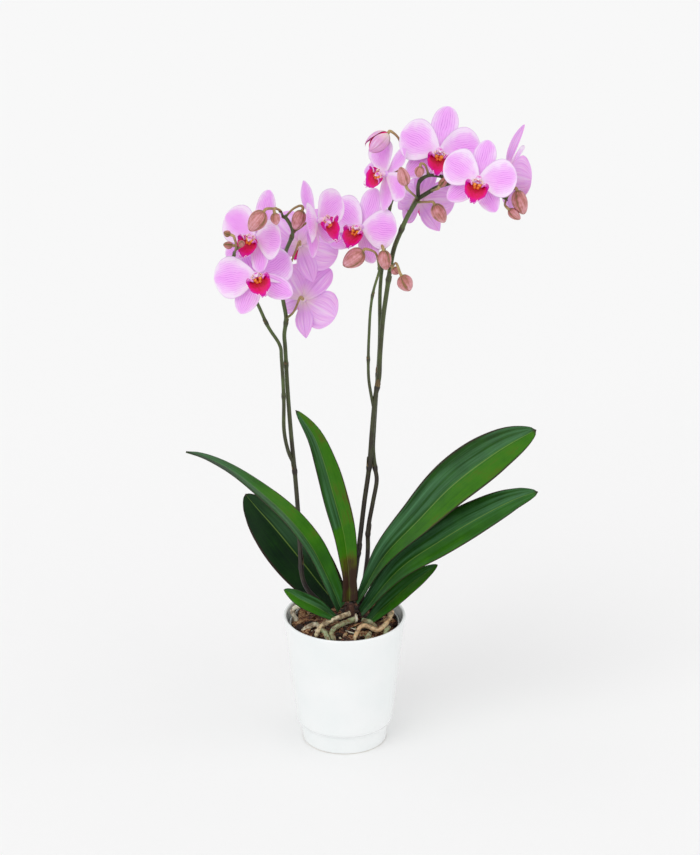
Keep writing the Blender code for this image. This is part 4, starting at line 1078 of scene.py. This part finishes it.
def lip(name, middle, axes, size, drop, materials):
    """The lip and column: an arrow-shaped middle lobe with two tendrils, two side lobes that stand up beside the
    column, a spotted callus in the throat, and the column with its anther cap."""
    face, up, right = axes
    foot = middle + face * (HUB_LENGTH * 0.4 + GAP)
    scale = MM * size

    def at(forward, high, sideways):
        return foot + (face * forward + up * high + right * sideways) * scale

    bm = new_mesh()
    spine = smooth_route([at(4.5, drop + 0.5, 0), at(6.5, drop - 3.0, 0), at(8.5, drop - 7.5, 0), at(10, drop - 12.5, 0), at(11, drop - 17.5, 0),
                          at(12.5, drop - 21.5, 0)], 0.9 * MM)
    outline = [(0.0, 8.0), (0.12, 10.8), (0.32, 12.2), (0.56, 11.2), (0.80, 7.4), (0.94, 3.8), (1.0, 2.0)]
    lobe(bm, spine, lambda s: eased(outline, s) * scale, face + up * 0.3, 1.5 * scale, 0.30,
         lambda s, t: eased([(0.0, 0.16), (0.35, 0.26), (0.6, 0.42), (0.9, 0.68), (1.0, 0.8)], s)
         + 0.42 * section(t)[0] ** 4, 30, 28)
    for sign in (-1, 1):
        line = smooth_route([at(3.5, drop - 1.0, sign * 5.0), at(6.5, drop - 2.4, sign * 8.2), at(9.2, drop - 1.6, sign * 9.6),
                             at(11.0, drop - 0.4, sign * 8.6), at(12.2, drop + 1.0, sign * 6.6)], 1.0 * MM)
        width = [(0.0, 3.0), (0.3, 4.6), (0.65, 4.8), (0.88, 4.0), (1.0, 2.4)]
        lobe(bm, line, lambda s: eased(width, s) * scale, right * -sign * 0.5 + face * 0.9, 1.1 * scale, 0.35,
             lambda s, t: eased([(0.0, 0.4), (0.3, 0.6), (0.6, 0.74), (0.85, 0.86), (1.0, 0.97)], s)
             + (0.06 if t > 0.5 else 0.0), 18, 20)
        tendril = smooth_route([at(11.8, drop - 20.5, sign * 0.5), at(13.8, drop - 21.8, sign * 2.0), at(15.4, drop - 19.6, sign * 3.4),
                                at(14.8, drop - 17.4, sign * 4.4), at(13.2, drop - 18.2, sign * 4.6)], 0.8 * MM)
        limb(bm, tendril, lambda s, turn: (0.62 - 0.42 * s) * scale, 8, lambda s, t: 0.8 + 0.25 * s)
        blob(bm, at(7.4, drop - 1.6, sign * 2.7), axes, (2.6 * scale, 2.3 * scale, 2.3 * scale), 0.4, 1)
        blob(bm, at(9.2, drop - 4.6, sign * 1.6), axes, (2.0 * scale, 1.9 * scale, 1.7 * scale), 0.15, 1)
        for k in range(5):
            ring = sign * (0.5 + 0.5 * k)
            blob(bm, at(8.0 - 0.3 * k, drop + 0.8 + 3.9 * math.cos(ring), 5.4 * math.sin(ring)), axes,
                 (1.3 * scale, 1.3 * scale, 1.3 * scale), 0.9, 1, 8)
    column = smooth_route([at(-0.2, 0, 0), at(3, 0.2, 0), at(6.5, -0.8, 0), at(9.2, -2.4, 0)], 0.7 * MM)
    limb(bm, column, lambda s, turn: (2.2 + 0.8 * math.sin(math.pi * min(1.0, 0.75 * s + 0.1))) * scale, 18,
         lambda s, t: eased([(0.0, 0.2), (0.5, 0.4), (1.0, 0.55)], s), finish=2)
    blob(bm, at(9.2, -1.4, 0), axes, (2.3 * scale, 2.3 * scale, 2.7 * scale),
         lambda s, t: 0.35 + 0.4 * max(0.0, math.cos(2 * math.pi * t)), 2, 16)
    blob(bm, at(10.6, -3.2, 0), axes, (1.1 * scale, 0.9 * scale, 1.2 * scale), 0.15, 2)
    blob(bm, at(9.4, -4.4, 0), axes, (0.9 * scale, 0.7 * scale, 1.5 * scale), 0.95, 2)
    finished(bm, name + "_lip_and_column", materials, "lip", name + "_lip")


def blossom(name, spec, tissues, lip_materials):
    """An open flower: five tepals round a small receptacle, and its lip."""
    centre, face, up, size, bends = spec
    middle = place(*centre)
    axes = frame_of(face, up)
    face, up, right = axes
    bm = new_mesh()
    for i, (bend, part) in enumerate(zip(bends, TEPALS)):
        long, wide, added, square = UNLIKE.get((name, part[0]), (1.0, 1.0, 0, part[4]))
        part = (part[0], part[1] + added, (part[2][0] * long, part[2][1] * wide), part[3], square) + part[5:]
        tepal(bm, middle, axes, part, size, bend, i + centre[0] * 0.37)
    knob = [middle - face * HUB_LENGTH * 0.6 + face * HUB_LENGTH * k / 8 for k in range(9)]
    limb(bm, knob, lambda s, turn: HUB_RADIUS * (0.62 + 0.42 * math.sin(math.pi * (0.12 + 0.7 * s))
                                                 + 0.05 * math.cos(6 * turn)), 24, finish=4)
    finished(bm, name + "_petals", tissues, "petal", name + "_tepals")
    larger, drop = LIPS.get(name, (1.0, -4.6))
    lip(name, middle, axes, size * larger, drop, lip_materials)


def bud_profile(s):
    """A bud's half width at s as a share of the widest: blunt at its base, with a short point."""
    return rounded(s, 0.44, 0.54) * (1.0 - 0.12 * s)


def bud(name, spec, skin):
    """A closed bud of three ribbed sepals with seams between them."""
    base, tip, width, owner, line = spec
    base, tip = place(*base), place(*tip)
    ahead = (tip - base).normalized()
    side = ahead.cross(Vector((0.2, 0.9, 0.3))).normalized()
    up = side.cross(ahead)
    seed = base.x * 400

    def shape(s, t):
        s = 0.5 - 0.5 * math.cos(math.pi * s)
        turn = 2 * math.pi * t
        seam = abs(math.sin(1.5 * turn + seed))
        dent = 0.10 * math.exp(-(seam / 0.16) ** 2)
        half = 0.54 * width * MM * bud_profile(s) * (0.96 + 0.07 * seam - dent + 0.012 * math.sin(21 * turn))
        belly = 0.10 * width * MM * math.sin(math.pi * s)
        return (base + ahead * (tip - base).length * s + (side * math.cos(turn) + up * math.sin(turn)) * half
                - up * belly * 0.4)

    def tone(s, t):
        seam = abs(math.sin(3 * math.pi * t + seed))
        young = 0.3 if width < 9 else 0.0
        return eased([(0.0, 0.2), (0.3, 0.55), (0.75, 0.72), (1.0, 0.35)], s) - young - 0.38 * math.exp(-(seam / 0.24) ** 2)

    bm = new_mesh()
    sheet_of(bm, 26, 48, shape, tone)
    finished(bm, name + "_sepals", [skin], "bud", name)


def half_open(name, spec, skin, inner):
    """The opening flower: three thick sepals parting round paler petals."""
    base, tip, width, owner, line = spec
    base, tip = place(*base), place(*tip)
    length = (tip - base).length
    ahead = (tip - base).normalized()
    side = ahead.cross(Vector((0.2, 0.9, 0.3))).normalized()
    up = side.cross(ahead)
    bm = new_mesh()

    def core(s, t):
        s = 0.5 - 0.5 * math.cos(math.pi * s)
        turn = 2 * math.pi * t
        half = 0.42 * width * MM * bud_profile(s) * (1 + 0.05 * math.cos(5 * turn))
        return base + ahead * 0.94 * length * s + (side * math.cos(turn) + up * math.sin(turn)) * half

    sheet_of(bm, 20, 36, core, 0.5, finish=1)
    for k in range(3):
        middle_turn = 2 * math.pi * k / 3 + 0.5

        def scale_leaf(s, t):
            s = 0.5 - 0.5 * math.cos(math.pi * s)
            w, over = section(t)
            turn = middle_turn + w * 1.0 * rounded(0.12 + 0.86 * s, 0.45, 0.6)
            parted = 0.5 * width * MM * (bud_profile(s) * (0.95 + 0.05 * w * w) + 0.42 * s * s)
            parted += 0.5 * MM * over * math.sin(math.pi * s)
            return base + ahead * length * s + (side * math.cos(turn) + up * math.sin(turn)) * parted

        sheet_of(bm, 24, 28, scale_leaf, lambda s, t: eased([(0.0, 0.35), (0.3, 1.05), (1.0, 1.0)], s)
                 - 0.6 * abs(section(t)[0]) ** 10, blade_chart)
    finished(bm, name + "_sepals", [skin, inner], "bud", name)


# ---------------------------------------------------------------- stage

def stage():
    """Floor, soft lights and the camera."""
    bm = bmesh.new()
    bmesh.ops.create_grid(bm, x_segments=1, y_segments=1, size=12.0)
    mesh = bpy.data.meshes.new("floor")
    bm.to_mesh(mesh)
    bm.free()
    floor = bpy.data.objects.new("floor", mesh)
    bpy.context.scene.collection.objects.link(floor)
    paper, tree, shader = new_material("matt white paper", Roughness=1.0, Specular_IOR_Level=0.0)
    shader.inputs["Base Color"].default_value = colour("#F7F7F7")
    mesh.materials.append(paper)

    world = bpy.data.worlds.new("soft studio")
    bpy.context.scene.world = world
    world.use_nodes = True
    world.node_tree.nodes["Background"].inputs["Color"].default_value = (1.0, 1.0, 1.0, 1.0)
    world.node_tree.nodes["Background"].inputs["Strength"].default_value = 0.84

    for name, heading, spread, power in (("key", (1.0, 1.5, -2.0), 42, 0.55), ("side", (-1.4, 0.6, -1.2), 60, 0.2)):
        light = bpy.data.lights.new(name, "SUN")
        light.angle = math.radians(spread)
        light.energy = power
        lamp = bpy.data.objects.new(name, light)
        bpy.context.scene.collection.objects.link(lamp)
        lamp.rotation_euler = Vector(heading).to_track_quat("-Z", "Y").to_euler()

    lens = bpy.data.cameras.new("camera")
    lens.lens = 156.25
    lens.sensor_width = 36
    camera = bpy.data.objects.new("camera", lens)
    bpy.context.scene.collection.objects.link(camera)
    distance, pitch = 4.0, math.radians(23.6)
    aim = Vector((0.006, 0.0, 0.3745))
    camera.location = aim + Vector((0, -math.cos(pitch), math.sin(pitch))) * distance
    camera.rotation_euler = (math.pi / 2 - pitch, 0, 0)
    bpy.context.scene.camera = camera
    bpy.context.scene.view_settings.view_transform = "Standard"


def main():
    stage()
    bark = pine_bark()
    velamen = root_velamen()
    pot(glazed_stoneware(), unglazed_clay())
    growers_pot(moulded_polypropylene())
    bark_bed(bark)
    bark_chips(bark)
    roots(velamen)
    fine_roots(velamen)
    crown(crown_sheath())
    upper, lower = leaf_cuticle(), leaf_underside()
    for name, spec in LEAVES.items():
        leaf(name, spec, upper, lower)
    skin, husk = stem_skin(), bract_husk()
    for name, limbs in STEMS.items():
        stem(name, limbs, skin, husk)
    petal_back = tepal_back("petal back", "#EDB8F2", "#F5DEF6")
    tissues = [
        tepal_tissue("petal tissue", 19, "#FAECFE", "#F6ACFB", "#CB58DA", (0.26, 0.60, 0.44, 0.42), 0.85),
        petal_back,
        tepal_tissue("sepal tissue", 11, "#F8E4FD", "#F4AEFA", "#C050CE", (0.26, 0.60, 0.54, 0.50), 0.85),
        tepal_back("sepal back", "#E9AAEF", "#CC84D4"),
        petal_back,
    ]
    lip_materials = [lip_flesh(), callus_flesh(), column_flesh()]
    for name, spec in FLOWERS.items():
        blossom(name, spec, tissues, lip_materials)
    sepals = bud_skin()
    for name, spec in BUDS.items():
        if name == "flower_half_open":
            half_open(name, spec, tepal_back("opening sepal", "#E0A0CC", "#B87898"), lip_materials[0])
        else:
            bud(name, spec, sepals)


main()
